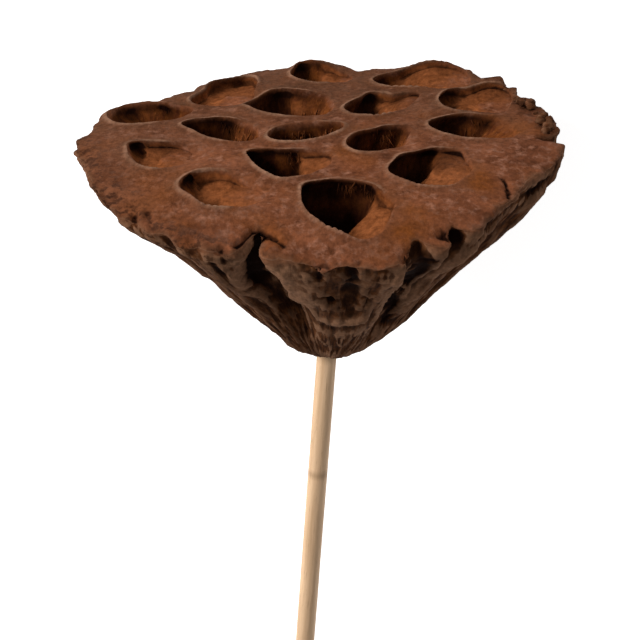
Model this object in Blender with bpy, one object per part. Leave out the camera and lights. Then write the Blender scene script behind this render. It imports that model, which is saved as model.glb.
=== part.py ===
# A dried lotus seed pod on a plain wooden stick, lying on its side.
# The pod grew as one piece: a wavy face with open seed pockets, a ragged rim
# and a creased funnel that narrows to the stick, which is pushed into its base.
# Shapes are worked out upright, in millimetres: x to the right across the face,
# y to its back edge, z up out of the face. An empty then lays both pieces down.

import math

import bmesh
import bpy
from mathutils import Matrix, Vector
from mathutils.geometry import delaunay_2d_cdt

MM = 0.001

# Funnel
POD_DEPTH = 47.0
BASE_RADIUS = 6.8
BASE_SHIFT_X = 1.3
# The base is rounded off from this share of the way down, and loses up to this share of its width
BASE_ROUND_FROM = 0.86
BASE_ROUNDING = 0.75
# Under the rim the skin drops this share of the way before it turns in: right, left and in front
RIM_WALL = 0.14
RIM_WALL_LEFT = 0.05
RIM_WALL_FRONT = 0.075
RIM_WALL_SOFT = 0.06
# How full the flank is: 1 is a straight cone and less is fuller, on the right and on the left
FLANK_POWER = 0.96
FLANK_POWER_LEFT = 0.78
# The funnel bulges on the right: how far, and where and over what share of the way down
BULGE = 1.5
BULGE_LEVEL = 0.84
BULGE_TALL = 0.15
RIM_STEPS = 92
FLANK_STATIONS = (0.03, 0.07, 0.13, 0.2, 0.28, 0.37, 0.47, 0.57, 0.67, 0.77, 0.86, 0.93, 0.98)

# Rim: angle in degrees (0 right, 90 back, -90 front), radius, height over the face's middle
RIM = (
    (-180, 47.8, -1.5),
    (-160, 46.4, -1.8),
    (-146, 46.0, -2.8),
    (-133, 46.9, -4.0),
    (-120, 44.8, -5.4),
    (-110, 42.4, -6.2),
    (-100, 41.0, -6.6),
    (-86, 44.2, -7.0),
    (-72, 44.6, -6.5),
    (-60, 43.8, -5.6),
    (-46, 43.2, -3.8),
    (-31, 42.5, -2.3),
    (-16, 44.8, -1.6),
    (-1, 48.2, -1.0),
    (14, 48.8, -0.8),
    (27, 49.2, -0.6),
    (38, 50.4, 0.2),
    (50, 50.6, 0.6),
    (62, 50.4, -0.4),
    (73, 48.2, -1.9),
    (85, 45.8, -0.8),
    (96, 45.8, -0.6),
    (107, 47.8, -2.8),
    (122, 45.2, -2.2),
    (136, 44.0, -2.2),
    (150, 46.0, -1.4),
    (165, 48.0, -1.2),
)

# Creases that run from the rim down the funnel: angle at the rim, angle at the base, depth,
# half width in degrees, how much of that it widens by to the base, where it fades out
CREASES = (
    (-108.5, -101, 6.2, 2.6, 4.0, 0.75),
    (-65, -56, 4.5, 3.0, 1.0, 0.85),
    (-53.5, -56, 3.2, 2.6, 0.8, 0.55),
    (3, -4, 2.8, 3.0, 1.0, 0.70),
    (-152, -140, 0.9, 4.0, 1.0, 0.90),
    (-129, -122, 1.2, 3.5, 1.0, 0.80),
    (-83, -84, 1.2, 3.5, 1.2, 0.55),
    (-22, -30, 1.2, 4.5, 1.0, 0.90),
    (32, 26, 2.0, 4.0, 0.8, 0.75),
    (69, 62, 1.0, 5.0, 1.5, 0.80),
    (104, 100, 2.2, 5.0, 0.8, 0.80),
    (142, 146, 2.4, 4.0, 0.8, 0.70),
    (172, 176, 1.6, 4.5, 0.8, 0.85),
)
# The power in a crease's bell curve, and where it ends, in half widths
CREASE_POWER = 1.6
CREASE_REACH = 3.0
# The rim's dents in the face even out over this share of the way down
NOTCH_BLEND = 0.2

# Round folds between the creases: how many, height, phase, twist from rim to base
FOLDS = ((7, 1.0, 3.4, 1.5), (12, 0.7, 0.9, -2.0), (23, 0.35, 4.0, 3.0))
# The folds sway to each side by this many radians, so that they are spaced unevenly
FOLD_SWAY = 0.17
FOLD_SWAYS = 3
# A fold's share of its height at the rim, how fast it grows there, and how it fades to the base
FOLD_AT_RIM = 0.25
FOLD_GROWTH = 3.0
FOLD_FADE = 0.75

# Face: the power with which it droops to the rim, at the back and in front
DROOP_POWER = 7.0
DROOP_POWER_FRONT = 3.4
# Slow waves over the face: height, millimetres to a radian along x and y, phases, power at the rim
WAVE_HEIGHT = 0.45
WAVE_X, WAVE_Y = 8.0, 9.0
WAVE_PHASE_X, WAVE_PHASE_Y = 0.6, -0.4
WAVE_END_POWER = 4

# Pockets: middle x and y, half length, half width, turn in degrees, how much the far end narrows,
# shift of the floor in x and y, depth, height of the lip, direction of the sloping wall in degrees,
# how much it slopes, and where the mouth is pulled out or in: direction, distance, width in degrees
POCKETS = (
    (-35.2, 15.6, 9.4, 6.0, 20, 0.30, 2.0, -0.5, 8.0, 1.0, 0, 0.60, ((-160, -0.6, 25), (90, 0.6, 40))),
    (-20.4, 27.9, 9.4, 5.4, 52, 0.15, -1.2, 0.6, 5.5, 1.3, -50, 0.95, ((-38, 2.2, 30), (176, -2.2, 30))),
    (-20.0, 6.9, 8.3, 5.4, 155, 0.25, -3.0, 0.5, 13.0, 0.6, -10, 0.50, ((137, -1.0, 25),)),
    (-6.3, 20.6, 9.3, 7.5, 178, 0.15, -2.0, 0.0, 14.0, 0.6, -10, 0.50, ((150, -0.9, 25), (72, -0.9, 25))),
    (0.2, 38.4, 6.8, 5.8, 10, 0.10, -1.0, -1.5, 10.0, 0.7, 0, 0.70, ((39, -1.2, 20), (125, 1.6, 20))),
    (21.6, 35.7, 10.3, 6.2, 183, 0.18, -2.5, 0.6, 9.0, 1.4, -20, 0.75, ((-38, 2.0, 25), (150, -1.0, 25))),
    (12.9, 20.4, 9.5, 4.9, 42, 0.32, -2.8, -0.8, 13.0, 0.6, 0, 0.55, ((60, -1.4, 20), (110, 2.0, 25))),
    (-2.9, 4.9, 8.1, 5.0, 20, 0.10, -1.0, 0.0, 14.0, 0.6, 110, 0.25, ((44, -1.4, 22),)),
    (11.7, 0.5, 8.2, 4.6, 50, 0.28, -2.0, 0.0, 13.0, 0.6, -10, 0.75, ((110, -0.8, 25), (0, 0.8, 25))),
    (-6.4, -10.4, 7.4, 8.0, -108, 0.34, -2.0, 1.0, 15.0, 0.6, -5, 0.45, ((96, -2.4, 35), (148, 1.2, 16))),
    (-31.8, -6.3, 6.8, 5.9, -85, 0.20, -0.5, 1.0, 4.5, 0.5, -5, 1.00, ((88, -1.4, 35), (144, 1.3, 16))),
    (-19.0, -21.7, 8.0, 6.3, -36, 0.00, 0.0, 1.0, 4.5, 0.7, 5, 0.95, ((40, -1.2, 35), (-8, 1.6, 20))),
    (5.5, -27.3, 10.0, 7.9, -62, 0.22, -3.0, 1.5, 13.0, 0.8, -20, 0.75, ((82, -1.2, 28), (142, 1.3, 16))),
    (20.9, -12.6, 8.4, 8.8, 196, 0.26, -2.0, 0.5, 10.0, 0.7, 0, 0.90, ((105, -2.2, 28), (-36, -1.8, 25))),
    (31.3, 8.0, 9.2, 6.3, 0, -0.05, -3.0, -0.5, 11.0, 0.7, 0, 0.65, ((75, -0.7, 20),)),
    (32.4, 23.5, 8.8, 6.4, 40, 0.00, -2.0, -1.6, 6.5, 0.8, -30, 0.95, ((-45, 1.0, 25), (97, -1.2, 25))),
)
MOUTH_STEPS = 22
LIP_WIDTH = 1.3
LIP_LOW = 0.5
LIP_REACH = 3.0
# Beyond this distance from a pocket's middle, past its two half sizes, its lip isn't felt
POCKET_FAR = 8.0
# The lips flatten towards the rim with this power of the distance
LIP_END_POWER = 12
# A sloping wall takes up this share of the mouth, and falls with this power; the face dips before it
SLOPE_SHARE = 0.8
SLOPE_POWER = 2.5
SLOPE_FACING_POWER = 1.5
SLOPE_DIP = 1.0
# Pockets shallower than this are round bowls, with this power of a circle's curve
BOWL_BELOW = 8.5
BOWL_POWER = 0.4
# A pocket leans in as the funnel narrows: this share of its middle's distance at full depth
LEAN_IN = 0.16
# Pocket rings under the mouth: share of the depth, share of the mouth's size
POCKET_RINGS = ((0.07, 0.96), (0.25, 1.03), (0.55, 0.93), (0.82, 0.72), (0.96, 0.40))
FACE_GRID = 3.4
GRID_CLEAR = 1.1

# Stick
STICK_LENGTH = 300.0
STICK_RADIUS_TOP = 2.1
STICK_RADIUS_END = 1.95
STICK_LEAN_DEG = 3.7
STICK_SIDES = 24
SOCKET_DEPTH = 24.0
GAP = 0.3
CUTTER_EXTRA = 4.0

# Lying down: the back of the rim and the stick's far end touch the surface
REST_HEIGHT = 44.9

SMOOTH_BELOW_DEG = 50
TINY = 1e-6


def through(stations, angle):
    """The values at an angle on the smooth closed curve through the stations."""
    count = len(stations)
    angle = (angle - stations[0][0]) % 360 + stations[0][0]
    last = max(i for i in range(count) if stations[i][0] <= angle)

    def station(i):
        turns, j = divmod(i, count)
        return (stations[j][0] + 360 * turns, *stations[j][1:])

    before, a, b, after = (station(last + k) for k in (-1, 0, 1, 2))
    span = b[0] - a[0]
    t = (angle - a[0]) / span
    found = []
    for k in range(1, len(a)):
        slope_a = (b[k] - before[k]) / (b[0] - before[0]) * span
        slope_b = (after[k] - a[k]) / (after[0] - a[0]) * span
        found.append(
            a[k] * (2 * t**3 - 3 * t**2 + 1)
            + slope_a * (t**3 - 2 * t**2 + t)
            + b[k] * (3 * t**2 - 2 * t**3)
            + slope_b * (t**3 - t**2)
        )
    return found


def between(a, b, share):
    return a + (b - a) * share


def degrees_apart(a, b):
    return (a - b + 180) % 360 - 180


def crease_depth(angle, down):
    """How far the creases cut in at an angle, at a share of the way down the funnel."""
    total = 0.0
    for at_rim, at_base, depth, width, widens, end in CREASES:
        middle = at_rim + degrees_apart(at_base, at_rim) * down
        off = abs(degrees_apart(angle, middle)) / (width * (1 + widens * down))
        if down < end and off < CREASE_REACH:
            total += depth * math.exp(-(off**CREASE_POWER)) * (1 - (down / end) ** 2)
    return total


def fold_height(turn, down):
    """How far the round folds stand out at an angle in radians, at a share of the way down."""
    swayed = turn + FOLD_SWAY * math.sin(FOLD_SWAYS * turn + down)
    strength = min(1.0, FOLD_AT_RIM + FOLD_GROWTH * down) * (1 - down) ** FOLD_FADE
    height = 0.0
    for count, size, phase, twist in FOLDS:
        height += size * math.sin(count * swayed + phase + twist * down)
    return strength * height


def dome_height(x, y):
    """The face's height without its lips: nearly flat, drooping to the rim, most in front."""
    distance = math.hypot(x, y)
    radius, height = through(RIM, math.degrees(math.atan2(y, x)))
    front = max(0.0, -y / distance) if distance else 0.0
    share = distance / radius
    wave = math.sin(x / WAVE_X + WAVE_PHASE_X) * math.cos(y / WAVE_Y + WAVE_PHASE_Y)
    wave_height = WAVE_HEIGHT * max(0.0, 1 - share**WAVE_END_POWER)
    return height * share ** between(DROOP_POWER, DROOP_POWER_FRONT, front) + wave_height * wave


def rim_point(angle):
    radius = through(RIM, angle)[0] - crease_depth(angle, 0.0)
    turn = math.radians(angle)
    x, y = radius * math.cos(turn), radius * math.sin(turn)
    return Vector((x, y, dome_height(x, y)))


def turn_in(down, wall):
    """How far the funnel has narrowed: flat along the wall, then even down to 1 at the base."""

    def bend(place):
        return place - wall + math.hypot(place - wall, RIM_WALL_SOFT)

    return (bend(down) - bend(0)) / (bend(1) - bend(0))


def funnel_point(angle, down):
    """A point of the funnel's outside; down goes from 0 at the rim to 1 at the base."""
    radius, height = through(RIM, angle)
    turn = math.radians(angle)
    front = max(0.0, -math.sin(turn))
    left = max(0.0, -math.cos(turn))
    wall = between(between(RIM_WALL, RIM_WALL_LEFT, left), RIM_WALL_FRONT, front**2)
    narrowed = turn_in(down, wall) ** between(FLANK_POWER, FLANK_POWER_LEFT, left)
    reach = between(radius, BASE_RADIUS, narrowed)
    base_round = max(0.0, (down - BASE_ROUND_FROM) / (1 - BASE_ROUND_FROM))
    reach *= math.sqrt(max(0.0, 1 - BASE_ROUNDING * base_round**2))
    reach += BULGE * max(0.0, math.cos(turn)) * math.exp(-(((down - BULGE_LEVEL) / BULGE_TALL) ** 2))
    reach += fold_height(turn, down) - crease_depth(angle, down)
    notch = (rim_point(angle).z - height) * max(0.0, 1 - down / NOTCH_BLEND)
    z = between(height, -POD_DEPTH, down) + notch
    return Vector((reach * math.cos(turn) + BASE_SHIFT_X * down, reach * math.sin(turn), z))


def mouth_reach(pocket, direction):
    """How far a pocket's edge is from its middle in a direction, in degrees."""
    half_length, half_width, tilt, narrow = pocket[2:6]
    along = math.radians(direction - tilt)
    turn = math.atan2(math.sin(along) / half_width, math.cos(along) / half_length)
    width = half_width * (1 - narrow * math.cos(turn))
    reach = half_length * width / math.hypot(width * math.cos(along), half_length * math.sin(along))
    for middle, pull, spread in pocket[12]:
        reach += pull * math.exp(-((degrees_apart(direction, middle) / spread) ** 2))
    return reach


def mouth_point(pocket, turn, grow=1.0):
    """A point on a pocket's mouth, seen from above."""
    along = math.atan2(pocket[3] * math.sin(turn), pocket[2] * math.cos(turn))
    direction = math.radians(pocket[4]) + along
    reach = mouth_reach(pocket, math.degrees(direction)) * grow
    return Vector((pocket[0] + reach * math.cos(direction), pocket[1] + reach * math.sin(direction)))


def from_mouth(pocket, x, y):
    """How far a point lies outside a pocket's mouth, and its direction from the middle."""
    away = math.hypot(x - pocket[0], y - pocket[1])
    direction = math.degrees(math.atan2(y - pocket[1], x - pocket[0]))
    if away > pocket[2] + pocket[3] + POCKET_FAR:
        return away - pocket[2] - pocket[3], direction
    return away - mouth_reach(pocket, direction), direction


def slope_share(pocket, direction):
    facing = max(0.0, math.cos(math.radians(direction - pocket[10])))
    return pocket[11] * facing**SLOPE_FACING_POWER


def lip_height(pocket, direction):
    """A lip's height: lowest inward, highest on the rim's side, and a dip before a sloping wall."""
    outward = math.cos(math.radians(direction) - math.atan2(pocket[1], pocket[0]))
    height = between(LIP_LOW, max(LIP_LOW, pocket[9]), max(0.0, outward) ** 2)
    return between(height, -SLOPE_DIP, slope_share(pocket, direction))


def face_height(x, y):
    """The face's height, with a lip round each pocket."""
    height = dome_height(x, y)
    share = math.hypot(x, y) / through(RIM, math.degrees(math.atan2(y, x)))[0]
    flattened = max(0.0, 1 - share**LIP_END_POWER)
    for pocket in POCKETS:
        off, direction = from_mouth(pocket, x, y)
        off = max(0.0, off) / LIP_WIDTH
        if off < LIP_REACH:
            height += lip_height(pocket, direction) * math.exp(-(off**2)) * flattened
    return height


def inside_rim(x, y, clear):
    return math.hypot(x, y) < rim_point(math.degrees(math.atan2(y, x))).xy.length - clear


def face_points():
    """Points between the pockets on staggered rows, and one ring round each pocket's lip."""
    found = []
    rows = math.ceil(max(station[1] for station in RIM) / FACE_GRID)
    for row in range(-rows, rows + 1):
        for column in range(-rows, rows + 1):
            x = (column + 0.5 * (row % 2)) * FACE_GRID
            y = row * FACE_GRID
            clear = min(from_mouth(pocket, x, y)[0] for pocket in POCKETS) - LIP_WIDTH
            if clear > GRID_CLEAR and inside_rim(x, y, GRID_CLEAR):
                found.append((x, y))
    for pocket in POCKETS:
        middle = Vector(pocket[:2])
        others = [other for other in POCKETS if other is not pocket]
        for step in range(MOUTH_STEPS):
            edge = mouth_point(pocket, math.tau * (step + 0.5) / MOUTH_STEPS)
            x, y = edge + (edge - middle).normalized() * LIP_WIDTH
            clear = min(from_mouth(other, x, y)[0] for other in others)
            if clear > GRID_CLEAR and inside_rim(x, y, GRID_CLEAR):
                found.append((x, y))
    return found


def inside_loop(loop, x, y):
    """Whether a point lies inside a closed line seen from above."""
    inside = False
    for i, (bx, by) in enumerate(loop):
        ax, ay = loop[i - 1]
        if (ay > y) != (by > y) and x < ax + (y - ay) / (by - ay) * (bx - ax):
            inside = not inside
    return inside


def pocket_point(pocket, turn, deep, size):
    """A point on a pocket's wall, at a share of its depth."""
    middle = Vector(pocket[:2])
    edge = mouth_point(pocket, turn)
    slope = slope_share(pocket, math.degrees(math.atan2(*(edge - middle).yx)))
    if pocket[8] < BOWL_BELOW:
        size *= (1 - deep**2) ** BOWL_POWER
    sloped = 1 - SLOPE_SHARE * (1 - (1 - deep) ** SLOPE_POWER)
    size = between(size, min(size, sloped), slope)
    lean = Vector(pocket[6:8]) - middle * LEAN_IN
    place = middle + (edge - middle) * size + lean * deep
    top = face_height(*edge)
    floor = face_height(*middle) - pocket[8]
    return Vector((place.x, place.y, between(top, floor, deep)))


def pod_mesh():
    """The whole pod as one closed skin: face, pockets and funnel share their edges."""
    angles = [360 * step / RIM_STEPS - 180 for step in range(RIM_STEPS)]
    turns = [math.tau * step / MOUTH_STEPS for step in range(MOUTH_STEPS)]
    rim = [rim_point(angle) for angle in angles]
    outline = [(point.x, point.y) for point in rim]
    loops = [list(range(RIM_STEPS))]
    for pocket in POCKETS:
        first = len(outline)
        outline += [tuple(mouth_point(pocket, turn)) for turn in turns]
        loops.append(list(range(first, first + MOUTH_STEPS)))
    edges = [(loop[i - 1], loop[i]) for loop in loops for i in range(len(loop))]
    flat = [Vector(point) for point in outline + face_points()]
    points, _, faces, sources, _, _ = delaunay_2d_cdt(flat, edges, [], 1, TINY)
    made_from = {source: i for i, group in enumerate(sources) for source in group}

    mesh = bmesh.new()
    heights = {made_from[i]: rim[i].z for i in range(RIM_STEPS)}
    verts = []
    for i, point in enumerate(points):
        z = heights.get(i, face_height(point.x, point.y))
        verts.append(mesh.verts.new(Vector((point.x, point.y, z)) * MM))
    mouths = [[outline[i] for i in loop] for loop in loops[1:]]
    for face in faces:
        middle = sum((points[i] for i in face), Vector((0, 0))) / len(face)
        if not any(inside_loop(mouth, *middle) for mouth in mouths):
            mesh.faces.new([verts[i] for i in face])

    def sleeve(ring, places):
        """Carries a ring of the skin on to the next places and returns the new ring."""
        new = [mesh.verts.new(place * MM) for place in places]
        for i in range(len(ring)):
            mesh.faces.new((ring[i - 1], ring[i], new[i], new[i - 1]))
        return new

    def close(ring, place):
        tip = mesh.verts.new(place * MM)
        for i in range(len(ring)):
            mesh.faces.new((ring[i - 1], ring[i], tip))

    for pocket, loop in zip(POCKETS, loops[1:]):
        ring = [verts[made_from[i]] for i in loop]
        for deep, size in POCKET_RINGS:
            ring = sleeve(ring, [pocket_point(pocket, turn, deep, size) for turn in turns])
        close(ring, pocket_point(pocket, 0.0, 1.0, 0.0))

    ring = [verts[made_from[i]] for i in loops[0]]
    for down in FLANK_STATIONS:
        ring = sleeve(ring, [funnel_point(angle, down) for angle in angles])
    close(ring, Vector((BASE_SHIFT_X, 0, -POD_DEPTH)))
    bmesh.ops.recalc_face_normals(mesh, faces=mesh.faces)
    return mesh


def wear_flat(mesh, point, normal):
    """Cuts off what lies beyond a plane and closes the cuts with flat spots."""
    cut = bmesh.ops.bisect_plane(
        mesh,
        geom=mesh.verts[:] + mesh.edges[:] + mesh.faces[:],
        dist=TINY * MM,
        plane_co=point,
        plane_no=normal,
        clear_outer=True,
    )
    edges = [item for item in cut["geom_cut"] if isinstance(item, bmesh.types.BMEdge)]
    bmesh.ops.holes_fill(mesh, edges=edges, sides=0)
    bmesh.ops.triangulate(mesh, faces=mesh.faces[:])
    bmesh.ops.recalc_face_normals(mesh, faces=mesh.faces)


def turned_rod(length, radius_top, radius_end):
    """A round rod whose top is at the origin and which runs down -Z."""
    mesh = bmesh.new()
    bmesh.ops.create_cone(
        mesh,
        cap_ends=True,
        segments=STICK_SIDES,
        radius1=radius_end * MM,
        radius2=radius_top * MM,
        depth=length * MM,
        matrix=Matrix.Translation((0, 0, -length / 2 * MM)),
    )
    return mesh


def add_object(name, mesh, parent):
    data = bpy.data.meshes.new(name)
    mesh.to_mesh(data)
    mesh.free()
    made = bpy.data.objects.new(name, data)
    bpy.context.collection.objects.link(made)
    made.parent = parent
    return made


def finish_object(made, material_name, color, roughness):
    """Gives an object its own material and smooths it up to its sharp edges."""
    material = bpy.data.materials.new(material_name)
    material.use_nodes = True
    shader = material.node_tree.nodes["Principled BSDF"]
    shader.inputs["Base Color"].default_value = (*color, 1)
    shader.inputs["Roughness"].default_value = roughness
    shader.inputs["Metallic"].default_value = 0.0
    made.data.materials.append(material)
    made.data.shade_smooth()
    made.data.set_sharp_from_angle(angle=math.radians(SMOOTH_BELOW_DEG))


for old in list(bpy.data.objects):
    bpy.data.objects.remove(old, do_unlink=True)

# The stick's far end decides how far the face tips up when the pod lies down.
stick_axis = Matrix.Rotation(math.radians(STICK_LEAN_DEG), 3, "Y") @ Vector((0, 0, -1))
base = Vector((BASE_SHIFT_X, 0, -POD_DEPTH))
stick_top = base - stick_axis * (SOCKET_DEPTH - GAP)
stick_end = stick_top + stick_axis * STICK_LENGTH
tip_up = math.asin((REST_HEIGHT - STICK_RADIUS_END) / -stick_end.z)

lay_down = bpy.data.objects.new("lay_down", None)
bpy.context.collection.objects.link(lay_down)
lay_down.rotation_euler = (tip_up - math.pi / 2, 0, 0)
lay_down.location = (0, 0, REST_HEIGHT * MM)

skin = pod_mesh()
# The lowest back part of the rim is worn flat where it lies on the surface.
down_there = lay_down.rotation_euler.to_matrix().inverted() @ Vector((0, 0, -1))
wear_flat(skin, down_there * REST_HEIGHT * MM, down_there)
pod = add_object("pod", skin, lay_down)
finish_object(pod, "pod_brown", (0.20, 0.085, 0.04), 0.85)

rod = turned_rod(STICK_LENGTH, STICK_RADIUS_TOP, STICK_RADIUS_END)
stick = add_object("stick", rod, lay_down)
stick.location = stick_top * MM
stick.rotation_euler = (0, math.radians(STICK_LEAN_DEG), 0)
finish_object(stick, "stick_wood", (0.47, 0.30, 0.16), 0.6)

# The blind socket in the pod's base clears the stick all round.
socket_radius = STICK_RADIUS_TOP + GAP
cutter = turned_rod(SOCKET_DEPTH + CUTTER_EXTRA, socket_radius, socket_radius)
socket = add_object("socket_cutter", cutter, lay_down)
socket.location = (base - stick_axis * SOCKET_DEPTH) * MM
socket.rotation_euler = stick.rotation_euler
socket.hide_render = True
socket.display_type = "WIRE"
bore = pod.modifiers.new("socket", "BOOLEAN")
bore.operation = "DIFFERENCE"
bore.object = socket

# The origin is the middle of the whole object's footprint.
bpy.context.view_layer.update()
corners = [item.matrix_world @ vert.co for item in (pod, stick) for vert in item.data.vertices]
for axis in (0, 1):
    reach = [corner[axis] for corner in corners]
    lay_down.location[axis] = -(min(reach) + max(reach)) / 2
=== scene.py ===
import math
import random
from collections import namedtuple

import bmesh
import bpy
import numpy as np
from mathutils import Matrix, Vector, noise
from mathutils.geometry import delaunay_2d_cdt


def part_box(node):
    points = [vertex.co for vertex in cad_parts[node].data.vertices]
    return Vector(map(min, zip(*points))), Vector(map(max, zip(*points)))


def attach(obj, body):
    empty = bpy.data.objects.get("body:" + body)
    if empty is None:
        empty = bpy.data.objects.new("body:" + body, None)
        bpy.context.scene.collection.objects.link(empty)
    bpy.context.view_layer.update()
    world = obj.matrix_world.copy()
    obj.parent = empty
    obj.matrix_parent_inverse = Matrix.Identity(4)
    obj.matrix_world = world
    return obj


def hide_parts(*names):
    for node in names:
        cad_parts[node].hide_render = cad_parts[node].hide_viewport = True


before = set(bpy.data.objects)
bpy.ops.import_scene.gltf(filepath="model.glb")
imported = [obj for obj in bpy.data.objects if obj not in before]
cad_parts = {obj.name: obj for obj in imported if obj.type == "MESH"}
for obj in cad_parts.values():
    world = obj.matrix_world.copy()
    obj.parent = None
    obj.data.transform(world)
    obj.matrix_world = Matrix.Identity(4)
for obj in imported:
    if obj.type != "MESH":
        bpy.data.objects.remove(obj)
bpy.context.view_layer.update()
print("frame loaded")

# How the object lies. Shapes are worked out upright, in millimetres: x to the right across
# the face, y to its back edge, z up out of the face. layDown carries them to the frame.
mm = 0.001
lying = {
    "restHeight": 44.9,
    "podDepth": 47.0,
    "baseShift": 1.3,
    "stickLean": 3.7,  # degrees
    "stickLength": 300.0,
    "stickRadiusTop": 2.1,
    "stickRadiusEnd": 1.95,
    "socketDepth": 24.0,
    "gap": 0.3,
    "floorClear": 0.05,
}

stickAxis = Matrix.Rotation(math.radians(lying["stickLean"]), 3, "Y") @ Vector((0, 0, -1))
podBase = Vector((lying["baseShift"], 0, -lying["podDepth"]))
stickTop = podBase - stickAxis * (lying["socketDepth"] - lying["gap"])
stickEnd = stickTop + stickAxis * lying["stickLength"]
tipUp = math.asin((lying["restHeight"] - lying["stickRadiusEnd"]) / -stickEnd.z)
turnOver = Matrix.Rotation(tipUp - math.pi / 2, 3, "X")
farEnd = turnOver @ stickEnd
farAxis = turnOver @ stickAxis
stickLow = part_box("stick")[0]


def shiftAlong(i):
    # the far end's rim is the stick's lowest corner in x and in y
    return stickLow[i] / mm - farEnd[i] + lying["stickRadiusEnd"] * math.sqrt(1 - farAxis[i] ** 2)


layDown = (
    Matrix.Diagonal((mm, mm, mm, 1))
    @ Matrix.Translation((shiftAlong(0), shiftAlong(1), lying["restHeight"]))
    @ turnOver.to_4x4()
)

# Camera, in the upright millimetres
cameraLook = {
    "place": (-0.2, -351.07, 145.42),
    "pitch": 27.86,
    "lens": 107.47,
    "sensor": 36.0,
    "clip": (0.01, 20.0),  # metres
}


def makeCamera(look):
    pitch = math.radians(look["pitch"])
    right = Vector((1, 0, 0))
    ahead = turnOver @ Vector((0, math.cos(pitch), -math.sin(pitch)))
    above = right.cross(ahead)
    data = bpy.data.cameras.new("photoCamera")
    data.lens = look["lens"]
    data.sensor_width = look["sensor"]
    data.clip_start, data.clip_end = look["clip"]
    camera = bpy.data.objects.new("photoCamera", data)
    bpy.context.scene.collection.objects.link(camera)
    turn = Matrix((right, above, -ahead)).transposed().to_4x4()
    camera.matrix_world = Matrix.Translation(layDown @ Vector(look["place"])) @ turn
    bpy.context.scene.camera = camera


makeCamera(cameraLook)
print("camera placed")


# Node trees: short helpers used by the materials and the Geometry Nodes
def addNode(tree, kind, values=None, **settings):
    made = tree.nodes.new(kind)
    for name, value in settings.items():
        setattr(made, name, value)
    for socket, value in (values or {}).items():
        if isinstance(value, bpy.types.NodeSocket):
            tree.links.new(value, made.inputs[socket])
        else:
            made.inputs[socket].default_value = value
    return made


def doMath(tree, operation, a, b=0.0, c=0.0, clamp=False):
    values = {0: a, 1: b, 2: c}
    return addNode(tree, "ShaderNodeMath", values, operation=operation, use_clamp=clamp).outputs[0]


def doVector(tree, operation, a, b=(0, 0, 0)):
    made = addNode(tree, "ShaderNodeVectorMath", {0: a, 1: b}, operation=operation)
    return made.outputs["Value"] if operation in ("DOT_PRODUCT", "LENGTH") else made.outputs[0]


def times(tree, a, b):
    return doMath(tree, "MULTIPLY", a, b)


def plus(tree, a, b, clamp=False):
    return doMath(tree, "ADD", a, b, clamp=clamp)


def minus(tree, a, b):
    return doMath(tree, "SUBTRACT", a, b)


def joined(tree, x, y, z):
    return addNode(tree, "ShaderNodeCombineXYZ", {0: x, 1: y, 2: z}).outputs[0]


def scaled(tree, vector, amount):
    values = {0: vector, 3: amount}
    return addNode(tree, "ShaderNodeVectorMath", values, operation="SCALE").outputs[0]


def mixColour(tree, share, a, b):
    values = {0: share, 6: a, 7: b}
    made = addNode(tree, "ShaderNodeMix", values, data_type="RGBA", clamp_factor=True)
    return made.outputs[2]


def ramp(tree, value, low, high, toLow=0.0, toHigh=1.0):
    values = {0: value, 1: low, 2: high, 3: toLow, 4: toHigh}
    return addNode(tree, "ShaderNodeMapRange", values, clamp=True).outputs[0]


def noiseAt(tree, vector, scale, detail=3.0, rough=0.55, seed=0.0):
    # a noise from 0 to 1
    values = {"Vector": vector, "Scale": scale, "Detail": detail, "Roughness": rough, "W": seed}
    return addNode(tree, "ShaderNodeTexNoise", values, noise_dimensions="4D").outputs[0]


def readShade(tree, name, part="Fac"):
    return addNode(tree, "ShaderNodeAttribute", attribute_name=name).outputs[part]


def readField(tree, name, kind="FLOAT"):
    made = addNode(tree, "GeometryNodeInputNamedAttribute", {0: name}, data_type=kind)
    return made.outputs[0]


def storeField(tree, geometry, name, value, kind="FLOAT"):
    values = {"Geometry": geometry, "Name": name, "Value": value}
    made = addNode(tree, "GeometryNodeStoreNamedAttribute", values, data_type=kind, domain="POINT")
    return made.outputs[0]


def paintLike(tree, geometry, **notes):
    # writes what the pod's material reads
    place = addNode(tree, "GeometryNodeInputPosition").outputs[0]
    geometry = storeField(tree, geometry, "flow", scaled(tree, place, 1 / mm), "FLOAT_VECTOR")
    for name, value in notes.items():
        geometry = storeField(tree, geometry, name, value)
    return geometry


def moveBy(tree, geometry, offset):
    values = {"Geometry": geometry, "Offset": offset}
    return addNode(tree, "GeometryNodeSetPosition", values).outputs[0]


def keepAbove(tree, geometry, place, lowest):
    # nothing may stand lower than the surface that the object lies on
    parts = addNode(tree, "ShaderNodeSeparateXYZ", {0: place}).outputs
    raised = doMath(tree, "MAXIMUM", parts[2], lowest)
    values = {"Geometry": geometry, "Position": joined(tree, parts[0], parts[1], raised)}
    return addNode(tree, "GeometryNodeSetPosition", values).outputs[0]


def strew(tree, points, instance, **more):
    values = {"Points": points, "Instance": instance, **more}
    strewn = addNode(tree, "GeometryNodeInstanceOnPoints", values).outputs[0]
    return addNode(tree, "GeometryNodeRealizeInstances", {0: strewn}).outputs[0]


def startTree(name, look):
    # each value of the look whose name starts with a capital becomes a named input
    tree = bpy.data.node_groups.new(name, "GeometryNodeTree")
    tree.is_modifier = True
    tree.interface.new_socket("Geometry", in_out="INPUT", socket_type="NodeSocketGeometry")
    for label, value in look.items():
        if not label[0].isupper():
            continue
        kind = "NodeSocketInt" if isinstance(value, int) else "NodeSocketFloat"
        tree.interface.new_socket(label, in_out="INPUT", socket_type=kind)
    tree.interface.new_socket("Geometry", in_out="OUTPUT", socket_type="NodeSocketGeometry")
    return tree, tree.nodes.new("NodeGroupInput")


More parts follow.
